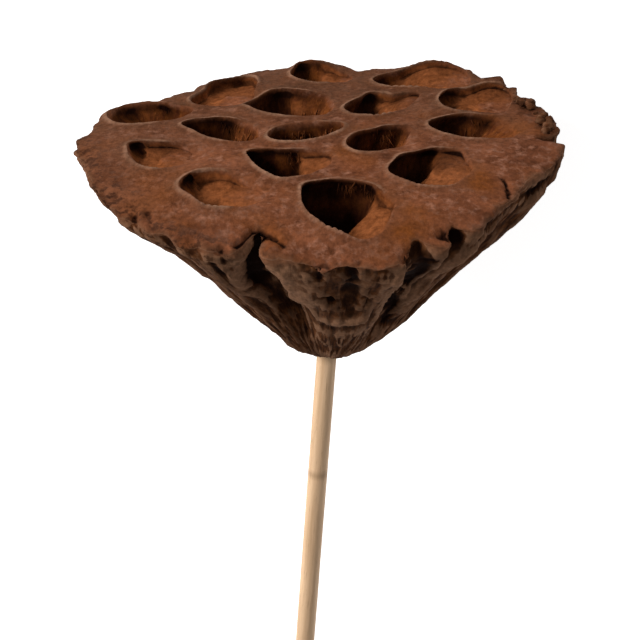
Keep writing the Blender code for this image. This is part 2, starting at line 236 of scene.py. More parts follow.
def endTree(tree, geometry, material):
    whole = addNode(tree, "GeometryNodeRealizeInstances", {0: geometry})
    values = {"Geometry": whole.outputs[0], "Material": material}
    painted = addNode(tree, "GeometryNodeSetMaterial", values)
    out = tree.nodes.new("NodeGroupOutput")
    tree.links.new(painted.outputs[0], out.inputs[0])


def startMaterial(name):
    made = bpy.data.materials.new(name)
    made.use_nodes = True
    tree = made.node_tree
    return made, tree, next(node for node in tree.nodes if node.type == "BSDF_PRINCIPLED")


def setInputs(modifier, values):
    for item in modifier.node_group.interface.items_tree:
        if item.item_type == "SOCKET" and item.in_out == "INPUT" and item.name in values:
            modifier[item.identifier] = values[item.name]


def linkMesh(name, mesh):
    made = bpy.data.objects.new(name, mesh)
    bpy.context.scene.collection.objects.link(made)
    return made


def bake(worked):
    # turns an object with modifiers into a plain mesh and drops the modifiers
    bpy.context.view_layer.update()
    seen = worked.evaluated_get(bpy.context.evaluated_depsgraph_get())
    mesh = bpy.data.meshes.new_from_object(seen)
    worked.modifiers.clear()
    worked.data = mesh
    mesh.name = worked.name
    return worked


def grow(worked, tree, values):
    modifier = worked.modifiers.new(tree.name, "NODES")
    modifier.node_group = tree
    setInputs(modifier, values)
    return bake(worked)


def handOver(piece, slotName, *nodes):
    piece.data.shade_smooth()
    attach(piece, "root")
    if nodes:
        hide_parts(*nodes)
    triangles = sum(len(face.vertices) - 2 for face in piece.data.polygons)
    print(piece.name, "made,", triangles, "triangles")


# Colours, as linear values
podColours = {
    "face": (0.190, 0.064, 0.029, 1),
    "faceDark": (0.094, 0.030, 0.013, 1),
    "pink": (0.245, 0.106, 0.064, 1),
    "warm": (0.164, 0.047, 0.011, 1),
    "dullBrown": (0.086, 0.036, 0.018, 1),
    "flank": (0.100, 0.035, 0.012, 1),
    "flankDark": (0.026, 0.008, 0.003, 1),
    "grey": (0.202, 0.101, 0.056, 1),
    "lip": (0.265, 0.142, 0.088, 1),
    "wall": (0.150, 0.042, 0.009, 1),
    "wallDark": (0.066, 0.016, 0.006, 1),
    # painted shade deep in the pockets
    "deepWall": (0.036, 0.007, 0.004, 1),
    # pale colours for the papery floors and shreds, and a painted highlight on swellings and sloping
    # sides
    "paleWall": (0.218, 0.068, 0.022, 1),
    "paleWallDark": (0.135, 0.040, 0.012, 1),
    # painted shade in folds, pockets, the socket and hollows
    "black": (0.010, 0.003, 0.0015, 1),
}


def podMaterial(colours):
    made, tree, shader = startMaterial("velvetPodSkin")
    place = addNode(tree, "ShaderNodeTexCoord").outputs["Object"]
    flow = readShade(tree, "flow", "Vector")
    hollow, deep, flank, lip, soot, worn, warm, dusk, rough, opened = (
        readShade(tree, name)
        for name in "hollow deep flank lip soot worn warm dusk rough opened".split()
    )

    wide = noiseAt(tree, flow, 0.16, 2.0, 0.5, 7.0)
    streak = noiseAt(tree, flow, 0.90, 4.0, 0.6, 3.0)
    patch = noiseAt(tree, place, 70.0, 3.0, 0.55, 5.0)
    mottle = noiseAt(tree, place, 190.0, 4.0, 0.6, 1.0)
    grain = noiseAt(tree, place, 480.0, 4.0, 0.65, 6.0)
    speck = noiseAt(tree, place, 1100.0, 2.0, 0.6, 9.0)

    # face: brown with pink and orange patches, darker towards the back and the left, duller round the
    # pockets
    face = mixColour(tree, ramp(tree, mottle, 0.40, 0.64), colours["face"], colours["faceDark"])
    face = mixColour(tree, ramp(tree, grain, 0.50, 0.64, 0.0, 0.85), face, colours["pink"])
    warmth = plus(tree, ramp(tree, patch, 0.52, 0.66, 0.0, 0.65), warm, clamp=True)
    warmth = times(tree, warmth, ramp(tree, grain, 0.30, 0.55, 0.35, 1.0))
    face = mixColour(tree, warmth, face, colours["warm"])
    dulling = plus(tree, times(tree, lip, 0.55), times(tree, dusk, 0.90), clamp=True)
    dulling = times(tree, dulling, ramp(tree, mottle, 0.35, 0.60, 1.0, 0.55))
    face = mixColour(tree, dulling, face, colours["dullBrown"])

    # flank: dark brown between grey-brown ridges
    side = mixColour(tree, ramp(tree, streak, 0.38, 0.60), colours["flankDark"], colours["flank"])
    greyness = ramp(tree, hollow, 0.02, 0.45)
    greyness = times(tree, greyness, ramp(tree, wide, 0.38, 0.60, 0.30, 1.0))
    # greyer on the ridges and along the grey skin marks
    greyness = plus(tree, greyness, worn, clamp=True)
    side = mixColour(tree, greyness, side, colours["grey"])
    skin = mixColour(tree, flank, face, side)
    crust = times(tree, ramp(tree, rough, 0.12, 0.60), ramp(tree, grain, 0.50, 0.58, 0.0, 0.70))
    skin = mixColour(tree, crust, skin, colours["flankDark"])
    line = times(tree, ramp(tree, lip, 0.80, 0.98), ramp(tree, mottle, 0.35, 0.6, 0.10, 0.75))
    skin = mixColour(tree, line, skin, colours["lip"])

    # pocket walls: streaked, with painted shade lower down; paler on papery floors, and paler on
    # swellings and sloping sides as a painted highlight
    wall = mixColour(tree, ramp(tree, streak, 0.42, 0.62), colours["wall"], colours["wallDark"])
    wall = mixColour(tree, ramp(tree, deep, 0.26, 0.75), wall, colours["deepWall"])
    paleSide = ramp(tree, grain, 0.42, 0.62)
    paleSide = mixColour(tree, paleSide, colours["paleWall"], colours["paleWallDark"])
    wall = mixColour(tree, opened, wall, paleSide)
    skin = mixColour(tree, ramp(tree, deep, 0.02, 0.09), skin, wall)
    # painted shade: darker towards black in the folds, pockets and socket, and in every hollow of the
    # skin; on the rim knobs also a darker tone all over
    dark = plus(tree, soot, ramp(tree, hollow, -0.15, -0.95, 0.0, 0.60), clamp=True)
    skin = mixColour(tree, dark, skin, colours["black"])
    values = {"Value": ramp(tree, speck, 0.28, 0.72, 0.70, 1.30), "Color": skin}
    fleck = addNode(tree, "ShaderNodeHueSaturation", values)
    tree.links.new(fleck.outputs[0], shader.inputs["Base Color"])
    tree.links.new(ramp(tree, mottle, 0.3, 0.7, 0.78, 0.96), shader.inputs["Roughness"])
    shader.inputs["Specular IOR Level"].default_value = 0.015

    nap = noiseAt(tree, place, 1500.0, 3.0, 0.65, 2.0)
    crinkle = noiseAt(tree, flow, 1.6, 4.0, 0.6, 4.0)
    values = {"Strength": 0.6, "Distance": 0.3 * mm, "Height": crinkle}
    soft = addNode(tree, "ShaderNodeBump", values)
    values = {"Strength": 0.55, "Distance": 0.18 * mm, "Height": nap, "Normal": soft.outputs[0]}
    fine = addNode(tree, "ShaderNodeBump", values)
    tree.links.new(fine.outputs[0], shader.inputs["Normal"])
    return made


# The pod's large shape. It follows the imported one, with finer creases and small
# changes at the left rim and the pockets.
podShape = {
    "baseRadius": 6.8,
    "baseRoundFrom": 0.86,
    "baseRounding": 0.75,
    "rimWall": 0.14,
    "rimWallLeft": 0.05,
    "rimWallFront": 0.075,
    "rimWallSoft": 0.06,
    "flankPower": 0.96,
    "flankPowerLeft": 0.78,
    "rightBulge": (1.5, 0.84, 0.15),  # how far, where down the flank, over what share
    "creasePower": 1.7,
    "creaseReach": 3.0,
    "foldSway": 0.17,
    "foldSways": 3,
    "foldAtRim": 0.25,
    "foldGrowth": 3.0,
    "foldFade": 0.75,
    "droopPower": 7.0,
    "droopPowerFront": 3.4,
    "waveHeight": 0.45,
    "waveX": (8.0, 0.6),  # length and phase
    "waveY": (9.0, -0.4),
    "lipLow": 0.55,
    "lipWidth": 1.0,
    "lipSpread": 1.6,  # how much wider the lip is on a sloping side
    "slopePower": 1.5,
    "leanIn": 0.16,
}
# angle in degrees (0 right, 90 back, -90 front), radius, height over the face's middle
rimStations = (
    (-180, 48.1, -1.5), (-160, 46.6, -1.8), (-146, 46.0, -2.8), (-133, 46.9, -4.0),
    (-120, 44.8, -5.4), (-110, 42.4, -6.2), (-100, 41.0, -6.6), (-86, 44.2, -7.0),
    (-72, 44.6, -6.5), (-60, 43.8, -5.6), (-46, 43.2, -3.8), (-31, 42.5, -2.3), (-16, 44.8, -1.6),
    (-1, 48.2, -1.0), (14, 48.8, -0.8), (27, 49.2, -0.6), (38, 50.4, 0.2), (50, 50.6, 0.6),
    (62, 50.4, -0.4), (73, 48.2, -1.9), (85, 45.8, -0.8), (96, 45.8, -0.6), (107, 47.8, -2.8),
    (122, 45.2, -2.2), (136, 44.0, -2.2), (150, 46.0, -1.4), (165, 48.0, -1.2),
)
# angle at the rim and at the base, depth, half width in degrees, how it widens, where it fades out
creaseLines = (
    (-108.5, -101, 6.2, 2.2, 5.0, 0.75), (-65, -56, 4.5, 2.6, 1.0, 0.85),
    (-53.5, -56, 3.2, 2.0, 0.8, 0.55), (3, -4, 2.4, 2.5, 1.0, 0.70),
    (-152, -140, 0.9, 4.0, 1.0, 0.90), (-129, -122, 1.2, 3.0, 1.0, 0.80),
    (-83, -84, 1.0, 3.0, 1.5, 0.55), (-22, -30, 1.0, 4.0, 1.0, 0.90), (32, 26, 1.8, 3.5, 0.8, 0.75),
    (69, 62, 1.0, 5.0, 1.5, 0.80), (104, 100, 2.2, 5.0, 0.8, 0.80), (142, 146, 2.4, 4.0, 0.8, 0.70),
    (172, 176, 1.6, 4.5, 0.8, 0.85),
)
# round folds between the creases: how many, height, phase, twist from rim to base
foldWaves = ((7, 1.0, 3.4, 1.5), (12, 0.7, 0.9, -2.0), (23, 0.35, 4.0, 3.0))
# middle x and y, half length, half width, turn, how much the far end narrows, floor shift x and y,
# depth, lip height, direction of the sloping side in degrees, how much it slopes, painted shade on its
# left side, and where the mouth is pulled out or pushed in: direction, distance, width
pocketKind = namedtuple(
    "pocketKind",
    "x y halfLength halfWidth tilt narrow shiftX shiftY depth lip slopeToward slopes soot pulls",
)
pocketRows = (
    (-35.2, 15.6, 9.4, 6.0, 20, 0.30, 2.0, -0.5, 8.0, 1.0, 0, 0.60, 0.1,
        ((-160, -0.6, 25), (90, 0.6, 40))),
    (-20.4, 27.9, 9.4, 5.4, 52, 0.15, -1.2, 0.6, 5.5, 1.3, -50, 0.95, 0.0,
        ((-38, 2.2, 30), (176, -2.2, 30), (65, 2.0, 14))),
    (-20.0, 6.9, 8.3, 5.4, 155, 0.25, -3.0, 0.5, 13.0, 0.6, -10, 0.50, 0.3,
        ((137, -1.0, 25), (172, 1.0, 12))),
    (-6.3, 20.6, 9.3, 7.5, 178, 0.15, -2.0, 0.0, 14.0, 0.6, -10, 0.50, 0.2,
        ((150, -0.9, 25), (72, -0.9, 25), (180, 0.8, 12), (-50, 0.7, 20))),
    (0.2, 38.4, 6.8, 5.8, 10, 0.10, -1.0, -1.5, 10.0, 1.2, 0, 0.70, 0.1,
        ((39, -1.2, 20), (125, 1.6, 20))),
    (21.6, 35.7, 10.3, 6.2, 183, 0.18, -2.5, 0.6, 9.0, 2.0, -20, 0.75, 0.0,
        ((-38, 2.0, 25), (150, -1.0, 25), (-152, 1.2, 20))),
    (12.9, 20.4, 9.5, 4.9, 42, 0.32, -2.8, -0.8, 13.0, 0.6, 0, 0.55, 0.2,
        ((60, -1.6, 18), (110, 2.0, 25), (35, 1.0, 10))),
    (-2.9, 4.9, 8.1, 5.0, 20, 0.10, -1.0, 0.0, 14.0, 0.6, 110, 0.25, 0.2,
        ((44, -1.4, 22), (110, -0.3, 20))),
    (11.7, 0.5, 8.2, 4.6, 50, 0.28, -2.0, 0.0, 13.0, 0.6, -10, 0.75, 0.1,
        ((41, 1.0, 10), (110, -0.8, 25), (0, 0.8, 25))),
    (-6.4, -10.4, 7.4, 8.0, -108, 0.34, -2.0, 1.0, 15.0, 0.6, -5, 0.45, 0.4,
        ((96, -2.4, 35), (148, 1.2, 12), (-20, -1.0, 22), (25, 0.8, 12), (-95, 0.8, 14))),
    (-31.8, -6.3, 6.8, 5.9, -85, 0.20, -0.5, 1.0, 4.5, 0.5, -5, 1.00, 0.0,
        ((88, -1.4, 35), (144, 1.3, 13), (20, 1.0, 20))),
    (-19.0, -21.7, 8.0, 6.3, -36, 0.00, 0.0, 1.0, 4.5, 0.7, 5, 0.95, 0.0,
        ((40, -1.2, 35), (178, 0.6, 20), (-110, 0.5, 20), (-8, 1.6, 20))),
    (5.5, -27.3, 10.0, 7.9, -62, 0.22, -3.0, 1.5, 13.0, 0.8, -20, 0.40, 0.3,
        ((82, -1.2, 28), (142, 1.3, 13), (-82, 1.0, 12), (8, 0.9, 10), (-35, -0.6, 18))),
    (20.9, -12.6, 8.4, 8.8, 196, 0.26, -2.0, 0.5, 10.0, 0.7, 0, 0.40, 0.0,
        ((105, -2.2, 28), (52, 1.6, 14), (-36, -1.8, 25), (165, -0.8, 20))),
    (31.3, 8.0, 9.2, 6.3, 0, -0.05, -3.0, -0.5, 11.0, 0.7, 0, 0.65, 0.2,
        ((9, -0.9, 15), (75, -0.7, 20), (175, 0.5, 12))),
    (32.4, 23.5, 8.8, 6.4, 40, 0.00, -2.0, -1.6, 6.5, 0.8, -30, 0.95, 0.0,
        ((-45, 1.0, 25), (97, -1.2, 25))),
)
pocketSet = tuple(pocketKind(*row) for row in pocketRows)
# swellings on the walls of pockets without a papery floor: pocket, direction, share of the
# depth, how far in, width in degrees, height share
wallLobes = (
    (3, 62, 0.26, 3.6, 24, 0.16), (3, 20, 0.30, 1.2, 12, 0.20), (8, 70, 0.30, 1.4, 9, 0.25),
    (8, 42, 0.32, 1.5, 8, 0.25), (7, 100, 0.14, 1.6, 50, 0.10), (0, 110, 0.25, 1.6, 22, 0.20),
    (14, 25, 0.30, 1.6, 18, 0.25), (2, 40, 0.25, 1.5, 20, 0.20),
)

# papery floors that fill one side of a pocket: pocket, the direction they rise in, how far from
# the pocket's middle they start, how far under the face they start, how they curve, how round
# they are, and how much of their drop is gone at the back
pocketShelves = {
    1: (-50, -5.0, 1.6, 1.0, 0.6, 0.2),
    4: (-5, -0.5, 3.0, 1.0, 0.8, 0.4),
    5: (-12, -5.2, 2.4, 1.0, 1.0, 0.5),
    6: (-5, -1.6, 3.2, 1.0, 0.9, 0.5),
    9: (2, 2.4, 3.0, 0.9, 0.3, 0.6),
    10: (-6, -3.4, 1.2, 1.0, 0.5, 0.6),
    11: (6, -4.4, 2.6, 0.9, 0.2, 0.2),
    12: (-40, -0.4, 5.0, 0.9, 0.8, 0.5),
    13: (-22, -0.8, 1.6, 0.8, 0.4, 0.9),
    15: (-18, -4.6, 2.0, 1.0, 0.9, 0.5),
}
# where shreds hang on the walls: pocket, direction, half width in degrees, and from and to
# which share of the depth
wallShreds = (
    (2, 40, 55, 0.06, 0.34), (3, 35, 30, 0.05, 0.32), (7, 95, 75, 0.10, 0.34),
    (8, 60, 45, 0.05, 0.40), (14, 40, 60, 0.04, 0.40), (0, 95, 40, 0.08, 0.36),
    (4, 80, 40, 0.05, 0.30), (6, 70, 40, 0.05, 0.30), (12, 60, 40, 0.04, 0.20),
    (9, 60, 35, 0.05, 0.25),
)
# rough, scaly stretches of the rim: angle, half width in degrees, strength
roughRim = (
    (-160, 28, 1.25), (-125, 16, 1.1), (-108, 8, 0.6), (26, 30, 1.0), (-60, 20, 0.15),
    (100, 40, 0.4),
)

# What only the fine skin has
podDetail = {
    "seed": 11,
    "rimSteps": 236,
    "flankRows": 32,
    "flankRowPower": 1.3,
    "mouthSteps": 42,
    "faceGrid": 1.35,
    "lipRings": (0.5, 1.2),
    "ringClear": 0.45,
    "gridClear": 1.9,
    "fineCreases": 110,
    "fineCreaseDepth": (0.3, 1.2),
    "fineCreaseWidth": (0.7, 2.0),
    "backUndercut": 0.09,
    "topShade": (0.8, 1.1, 0.9),  # dark line under the back lip: strength, place, height
    "shelfEdge": 0.55,
    "shelfStep": 1.15,
    "roughReach": 9.0,
    "dustReach": 2.4,
    "slopeDip": 1.1,
    "bowlBelow": 8.5,
    "notchBlend": 0.2,
    "rimRise": 0.35,
    "socketRadius": 2.25,
    "undercutLevel": 0.5,  # share of the depth that the undercut spans
    "slopeWall": (0.8, 2.5),  # share and power
    "bowlPower": 0.8,
    "shelfBack": (0.2, 0.9),  # where a floor's back rise starts and how soon it is full
    "shelfStepLevel": 0.03,  # share of the depth that the step takes
    "shelfStepEase": 0.8,  # how much of the step a sloping side loses
    # the paleness of swellings is papery colour with a painted highlight; on sloping sides it is a
    # painted highlight
    "lobePaperAndHighlight": 0.7,  # how pale a swelling is
    "slopeHighlight": 0.6,  # how pale a sloping side is
    "fullLobe": 3.6,  # a swelling this far in is as pale as it gets
    "roughLeast": 0.25,
    "roughPower": 1.5,
    "nearMouth": 6,  # how far from a mouth its lip is worked out
    "farMouth": 8,  # beyond this a mouth's distance is only estimated
    "knobReach": 3,  # in half widths
    "rimRipples": ((0.22, 43, 1.0), (0.18, 71, 2.2)),  # height, how many, phase
    "rimFades": 0.09,  # share of the flank that the ragged rim reaches down
    "pullsFrom": 0.04,  # share of the flank before its swellings are full
    "fineCreaseScatter": 0.45,
    "fineCreaseDrift": 9,
    "fineCreaseStart": (0.0, 0.35),
    "fineCreaseRun": (0.25, 0.6),
    "flankLength": 40,  # for the roughness under the rim
    "flankFlow": (46, 14),  # radius and drop of the flank's streaks
    "wallFlow": 0.35,  # how slowly the streaks run down a wall
    "fullDeep": 15,  # depth that counts as 1 in the colours
    "wallLip": 0.5,  # how far the pale lip reaches down a wall
    "warmAbove": -9,  # warm patches stay on the face
    "duskBack": (10, 50),  # from here, over how many mm
    "duskLeft": (12, 34, 0.6),  # the same on the left, and its share
}
# ragged rim: angle, how far it stands out, half width in degrees
rimKnobs = (
    (61, 0.8, 2.2), (57.5, 0.6, 1.6), (52.0, -0.6, 1.8), (48.5, -0.8, 1.2), (45.0, -1.4, 1.6),
    (41.5, 1.3, 1.9), (36.8, -0.8, 0.9), (34.6, 1.8, 1.1), (32.0, 0.4, 0.9), (29.0, 1.4, 1.3),
    (25.5, -1.2, 0.9), (21.8, 1.3, 1.4), (18.5, 0.8, 0.6), (16.5, -1.2, 0.9), (13.5, 1.0, 1.6),
    (9.5, 0.2, 1.3), (4.5, -3.2, 1.6), (0.0, 0.6, 1.5), (79.5, -2.4, 3.0), (74, 0.5, 1.5),
    (130, -1.2, 3.0), (120, -1.2, 3.5), (92, 0.6, 2.5), (107, 1.5, 4.5), (100, -0.7, 2.0),
    (145, -0.8, 2.5), (160, 0.6, 3.0), (-177, 0.5, 3.0), (176, 1.3, 4.5), (-171, -0.5, 1.0),
    (-166, -0.6, 1.6), (-158, 0.5, 1.4), (-153, 0.9, 1.2), (-149, 2.2, 7.0), (-142, 0.5, 1.5),
    (-137, -0.6, 1.0), (-131, 0.7, 1.8), (-124, 0.8, 1.6), (-120, -0.6, 0.8), (-116.5, -0.9, 1.0),
    (-113, 0.9, 1.0), (-104.5, 0.8, 1.0), (-101, -0.4, 1.0), (-93.5, -0.7, 1.2), (-89.5, 1.3, 1.6),
    (-85, -0.7, 1.2), (-77, 0.5, 1.6), (-69.5, 0.9, 1.6), (-58.5, 0.7, 1.4), (-47, 0.5, 1.6),
    (-38, -0.4, 1.6), (-30, 0.4, 1.0), (-26, -0.4, 1.0), (-18, -0.5, 1.4), (-12, 0.6, 1.2),
)
# where the flank swells or sinks: angle, half width in degrees, how far down, over what share,
# how much
flankPulls = (
    (-24, 20, 0.18, 0.09, -1.3), (-50, 9, 0.31, 0.10, -1.5), (-128, 12, 0.14, 0.09, -0.8),
    (-23, 20, 0.88, 0.06, -0.8), (-150, 14, 0.06, 0.07, 1.2), (-157, 20, 0.25, 0.08, -0.6),
    (-157, 22, 0.60, 0.28, -0.6), (-157, 22, 0.82, 0.10, -1.2), (-88, 10, 0.16, 0.12, -0.5),
)
# share of the depth, share of the mouth's size, and the same where a shelf fills the pocket
wallRings = (
    (0.03, 0.985, 0.975), (0.08, 0.985, 0.93), (0.15, 1.015, 0.87), (0.25, 1.04, 0.80),
    (0.36, 1.02, 0.72), (0.48, 0.97, 0.63), (0.60, 0.90, 0.54), (0.72, 0.80, 0.45),
    (0.82, 0.68, 0.36), (0.90, 0.53, 0.27), (0.96, 0.36, 0.18), (0.99, 0.18, 0.09),
)


def through(stations, angle):
    # the values at an angle on the smooth closed curve through the stations
    count = len(stations)
    angle = (angle - stations[0][0]) % 360 + stations[0][0]
    last = max(i for i in range(count) if stations[i][0] <= angle)

    def station(i):
        turns, j = divmod(i, count)
        return (stations[j][0] + 360 * turns, *stations[j][1:])

    before, a, b, after = (station(last + k) for k in (-1, 0, 1, 2))
    span = b[0] - a[0]
    t = (angle - a[0]) / span
    found = []
    for k in range(1, len(a)):
        slopeA = (b[k] - before[k]) / (b[0] - before[0]) * span
        slopeB = (after[k] - a[k]) / (after[0] - a[0]) * span
        found.append(
            a[k] * (2 * t**3 - 3 * t**2 + 1)
            + slopeA * (t**3 - 2 * t**2 + t)
            + b[k] * (3 * t**2 - 2 * t**3)
            + slopeB * (t**3 - t**2)
        )
    return found


def between(a, b, share):
    return a + (b - a) * share


def degreesApart(a, b):
    return (a - b + 180) % 360 - 180


def makeFineCreases(detail):
    pick = random.Random(detail["seed"])
    scatter, drift = detail["fineCreaseScatter"], detail["fineCreaseDrift"]
    made = []
    for i in range(detail["fineCreases"]):
        angle = 360 * (i + pick.uniform(-scatter, scatter)) / detail["fineCreases"]
        depth = pick.uniform(*detail["fineCreaseDepth"])
        width = pick.uniform(*detail["fineCreaseWidth"])
        start = pick.uniform(*detail["fineCreaseStart"])
        drifts = pick.uniform(-drift, drift)
        end = start + pick.uniform(*detail["fineCreaseRun"])
        made.append((angle, drifts, depth, width, start, end))
    return made


fineCreases = makeFineCreases(podDetail)


def creaseDepth(angle, down):
    total = 0.0
    for atRim, atBase, depth, width, widens, end in creaseLines:
        middle = atRim + degreesApart(atBase, atRim) * down
        off = abs(degreesApart(angle, middle)) / (width * (1 + widens * down))
        if down < end and off < podShape["creaseReach"]:
            total += depth * math.exp(-(off ** podShape["creasePower"])) * (1 - (down / end) ** 2)
    return total


def fineCreaseDepth(angle, down):
    total = 0.0
    for atRim, drift, depth, width, start, end in fineCreases:
        if start < down < end:
            off = abs(degreesApart(angle, atRim + drift * down)) / width
            if off < podShape["creaseReach"]:
                along = (down - start) / (end - start)
                total += depth * math.exp(-(off**2)) * math.sin(math.pi * along)
    return total


def foldHeight(turn, down):
    swayed = turn + podShape["foldSway"] * math.sin(podShape["foldSways"] * turn + down)
    strength = min(1.0, podShape["foldAtRim"] + podShape["foldGrowth"] * down)
    strength *= (1 - down) ** podShape["foldFade"]
    return strength * sum(
        size * math.sin(count * swayed + phase + twist * down)
        for count, size, phase, twist in foldWaves
    )


def sidePull(angle, down):
    # soft swellings and hollows of the flank
    total = 0.0
    for middle, width, level, tall, push in flankPulls:
        aside = degreesApart(angle, middle) / width
        total += push * math.exp(-(aside**2) - ((down - level) / tall) ** 2)
    return total


def ragged(angle):
    turn = math.radians(angle)
    out = sum(size * math.sin(count * turn + phase) for size, count, phase in podDetail["rimRipples"])
    for middle, size, width in rimKnobs:
        off = degreesApart(angle, middle) / width
        if abs(off) < podDetail["knobReach"]:
            out += size * math.exp(-(off**2))
    return out


rimTable = [through(rimStations, step / 2) for step in range(720)]


def smoothRim(angle):
    low, share = divmod((angle % 360) * 2, 1)
    a, b = rimTable[int(low) % 720], rimTable[(int(low) + 1) % 720]
    return between(a[0], b[0], share), between(a[1], b[1], share)


def domeHeight(x, y):
    # the face without its lips: flat in the middle, drooping to the rim, most at the front
    distance = math.hypot(x, y)
    radius, height = smoothRim(math.degrees(math.atan2(y, x)))
    front = max(0.0, -y / distance) if distance else 0.0
    share = distance / radius
    droop = height * share ** between(podShape["droopPower"], podShape["droopPowerFront"], front)
    (lengthX, phaseX), (lengthY, phaseY) = podShape["waveX"], podShape["waveY"]
    wave = podShape["waveHeight"] * math.sin(x / lengthX + phaseX) * math.cos(y / lengthY + phaseY)
    return droop + wave * max(0.0, 1 - share**4)


def rimPoint(angle):
    rise = ragged(angle)
    radius = smoothRim(angle)[0] + rise - creaseDepth(angle, 0.0)
    turn = math.radians(angle)
    x, y = radius * math.cos(turn), radius * math.sin(turn)
    return Vector((x, y, domeHeight(x, y) + rise * podDetail["rimRise"]))


def turnIn(down, wall):
    def bend(place):
        return place - wall + math.hypot(place - wall, podShape["rimWallSoft"])

    return (bend(down) - bend(0)) / (bend(1) - bend(0))


def funnelPoint(angle, down):
    radius, height = smoothRim(angle)
    turn = math.radians(angle)
    front = max(0.0, -math.sin(turn))
    left = max(0.0, -math.cos(turn))
    wall = between(podShape["rimWall"], podShape["rimWallLeft"], left)
    wall = between(wall, podShape["rimWallFront"], front**2)
    narrowed = turnIn(down, wall) ** between(podShape["flankPower"], podShape["flankPowerLeft"], left)
    reach = between(radius, podShape["baseRadius"], narrowed)
    baseRound = max(0.0, (down - podShape["baseRoundFrom"]) / (1 - podShape["baseRoundFrom"]))
    reach *= math.sqrt(max(0.0, 1 - podShape["baseRounding"] * baseRound**2))
    bulge, level, tall = podShape["rightBulge"]
    reach += bulge * max(0.0, math.cos(turn)) * math.exp(-(((down - level) / tall) ** 2))
    reach += foldHeight(turn, down) - creaseDepth(angle, down) - fineCreaseDepth(angle, down)
    atRim = max(0.0, 1 - down / podDetail["rimFades"])
    pulled = min(1.0, down / podDetail["pullsFrom"])
    reach += ragged(angle) * atRim + sidePull(angle, down) * pulled
    blend = max(0.0, 1 - down / podDetail["notchBlend"])
    z = between(height, -lying["podDepth"], down) + (rimPoint(angle).z - height) * blend
    return Vector((reach * math.cos(turn) + lying["baseShift"] * down, reach * math.sin(turn), z))


def mouthReach(pocket, direction):
    # how far the mouth's edge is from its middle in a direction, in degrees
    halfLength, halfWidth = pocket.halfLength, pocket.halfWidth
    along = math.radians(direction - pocket.tilt)
    turn = math.atan2(math.sin(along) / halfWidth, math.cos(along) / halfLength)
    width = halfWidth * (1 - pocket.narrow * math.cos(turn))
    reach = halfLength * width / math.hypot(width * math.cos(along), halfLength * math.sin(along))
    for middle, pull, spread in pocket.pulls:
        reach += pull * math.exp(-((degreesApart(direction, middle) / spread) ** 2))
    return reach


def mouthPoint(pocket, turn):
    along = math.atan2(pocket.halfWidth * math.sin(turn), pocket.halfLength * math.cos(turn))
    direction = math.degrees(along) + pocket.tilt
    reach = mouthReach(pocket, direction)
    toward = math.radians(direction)
    return pocket.x + reach * math.cos(toward), pocket.y + reach * math.sin(toward)


def fromMouth(pocket, x, y):
    # how far a place is outside the mouth, and its direction from the middle
    away = math.hypot(x - pocket.x, y - pocket.y)
    direction = math.degrees(math.atan2(y - pocket.y, x - pocket.x))
    if away > pocket.halfLength + pocket.halfWidth + podDetail["farMouth"]:
        return away - pocket.halfLength - pocket.halfWidth, direction
    return away - mouthReach(pocket, direction), direction


def slopeShare(pocket, direction):
    facing = max(0.0, math.cos(math.radians(direction - pocket.slopeToward)))
    return pocket.slopes * facing ** podShape["slopePower"]


def lipHeight(pocket, direction):
    outward = math.cos(math.radians(direction) - math.atan2(pocket.y, pocket.x))
    height = between(podShape["lipLow"], max(pocket.lip, podShape["lipLow"]), max(0.0, outward) ** 2)
    return between(height, -podDetail["slopeDip"], slopeShare(pocket, direction))


def lipShare(x, y):
    most = 0.0
    for pocket in pocketSet:
        off, direction = fromMouth(pocket, x, y)
        if off < podDetail["nearMouth"]:
            bell = math.exp(-((max(0.0, off) / podDetail["dustReach"]) ** 2))
            most = max(most, bell * (1 - slopeShare(pocket, direction)))
    return most


def faceHeight(x, y):
    height = domeHeight(x, y)
    for pocket in pocketSet:
        off, direction = fromMouth(pocket, x, y)
        if off < podDetail["nearMouth"]:
            spread = podShape["lipWidth"]
            spread *= 1 + podShape["lipSpread"] * slopeShare(pocket, direction)
            height += lipHeight(pocket, direction) * math.exp(-((max(0.0, off) / spread) ** 2))
    return height


def insideRim(x, y, clear):
    return math.hypot(x, y) < rimPoint(math.degrees(math.atan2(y, x))).xy.length - clear


def insideLoop(loop, x, y):
    inside = False
    for i, (bx, by) in enumerate(loop):
        ax, ay = loop[i - 1]
        if (ay > y) != (by > y) and x < ax + (y - ay) / (by - ay) * (bx - ax):
            inside = not inside
    return inside


def facePoints(detail):
    found = []
    grid = detail["faceGrid"]
    rows = math.ceil(max(station[1] for station in rimStations) / grid)
    for row in range(-rows, rows + 1):
        for column in range(-rows, rows + 1):
            x = (column + 0.5 * (row % 2)) * grid
            y = row * grid
            if not insideRim(x, y, grid / 2):
                continue
            if min(fromMouth(pocket, x, y)[0] for pocket in pocketSet) > detail["gridClear"]:
                found.append((x, y))
    for pocket in pocketSet:
        middle = Vector((pocket.x, pocket.y))
        others = [other for other in pocketSet if other is not pocket]
        for ring, offset in enumerate(detail["lipRings"]):
            for step in range(detail["mouthSteps"]):
                turn = math.tau * (step + 0.5 * (ring + 1)) / detail["mouthSteps"]
                edge = Vector(mouthPoint(pocket, turn))
                x, y = edge + (edge - middle).normalized() * offset
                clear = min(fromMouth(other, x, y)[0] for other in others)
                if clear > offset + detail["ringClear"] / 2 and insideRim(x, y, detail["ringClear"]):
                    found.append((x, y))
    return found


def stepUp(value):
    value = min(1.0, max(0.0, value))
    return value * value * (3 - 2 * value)


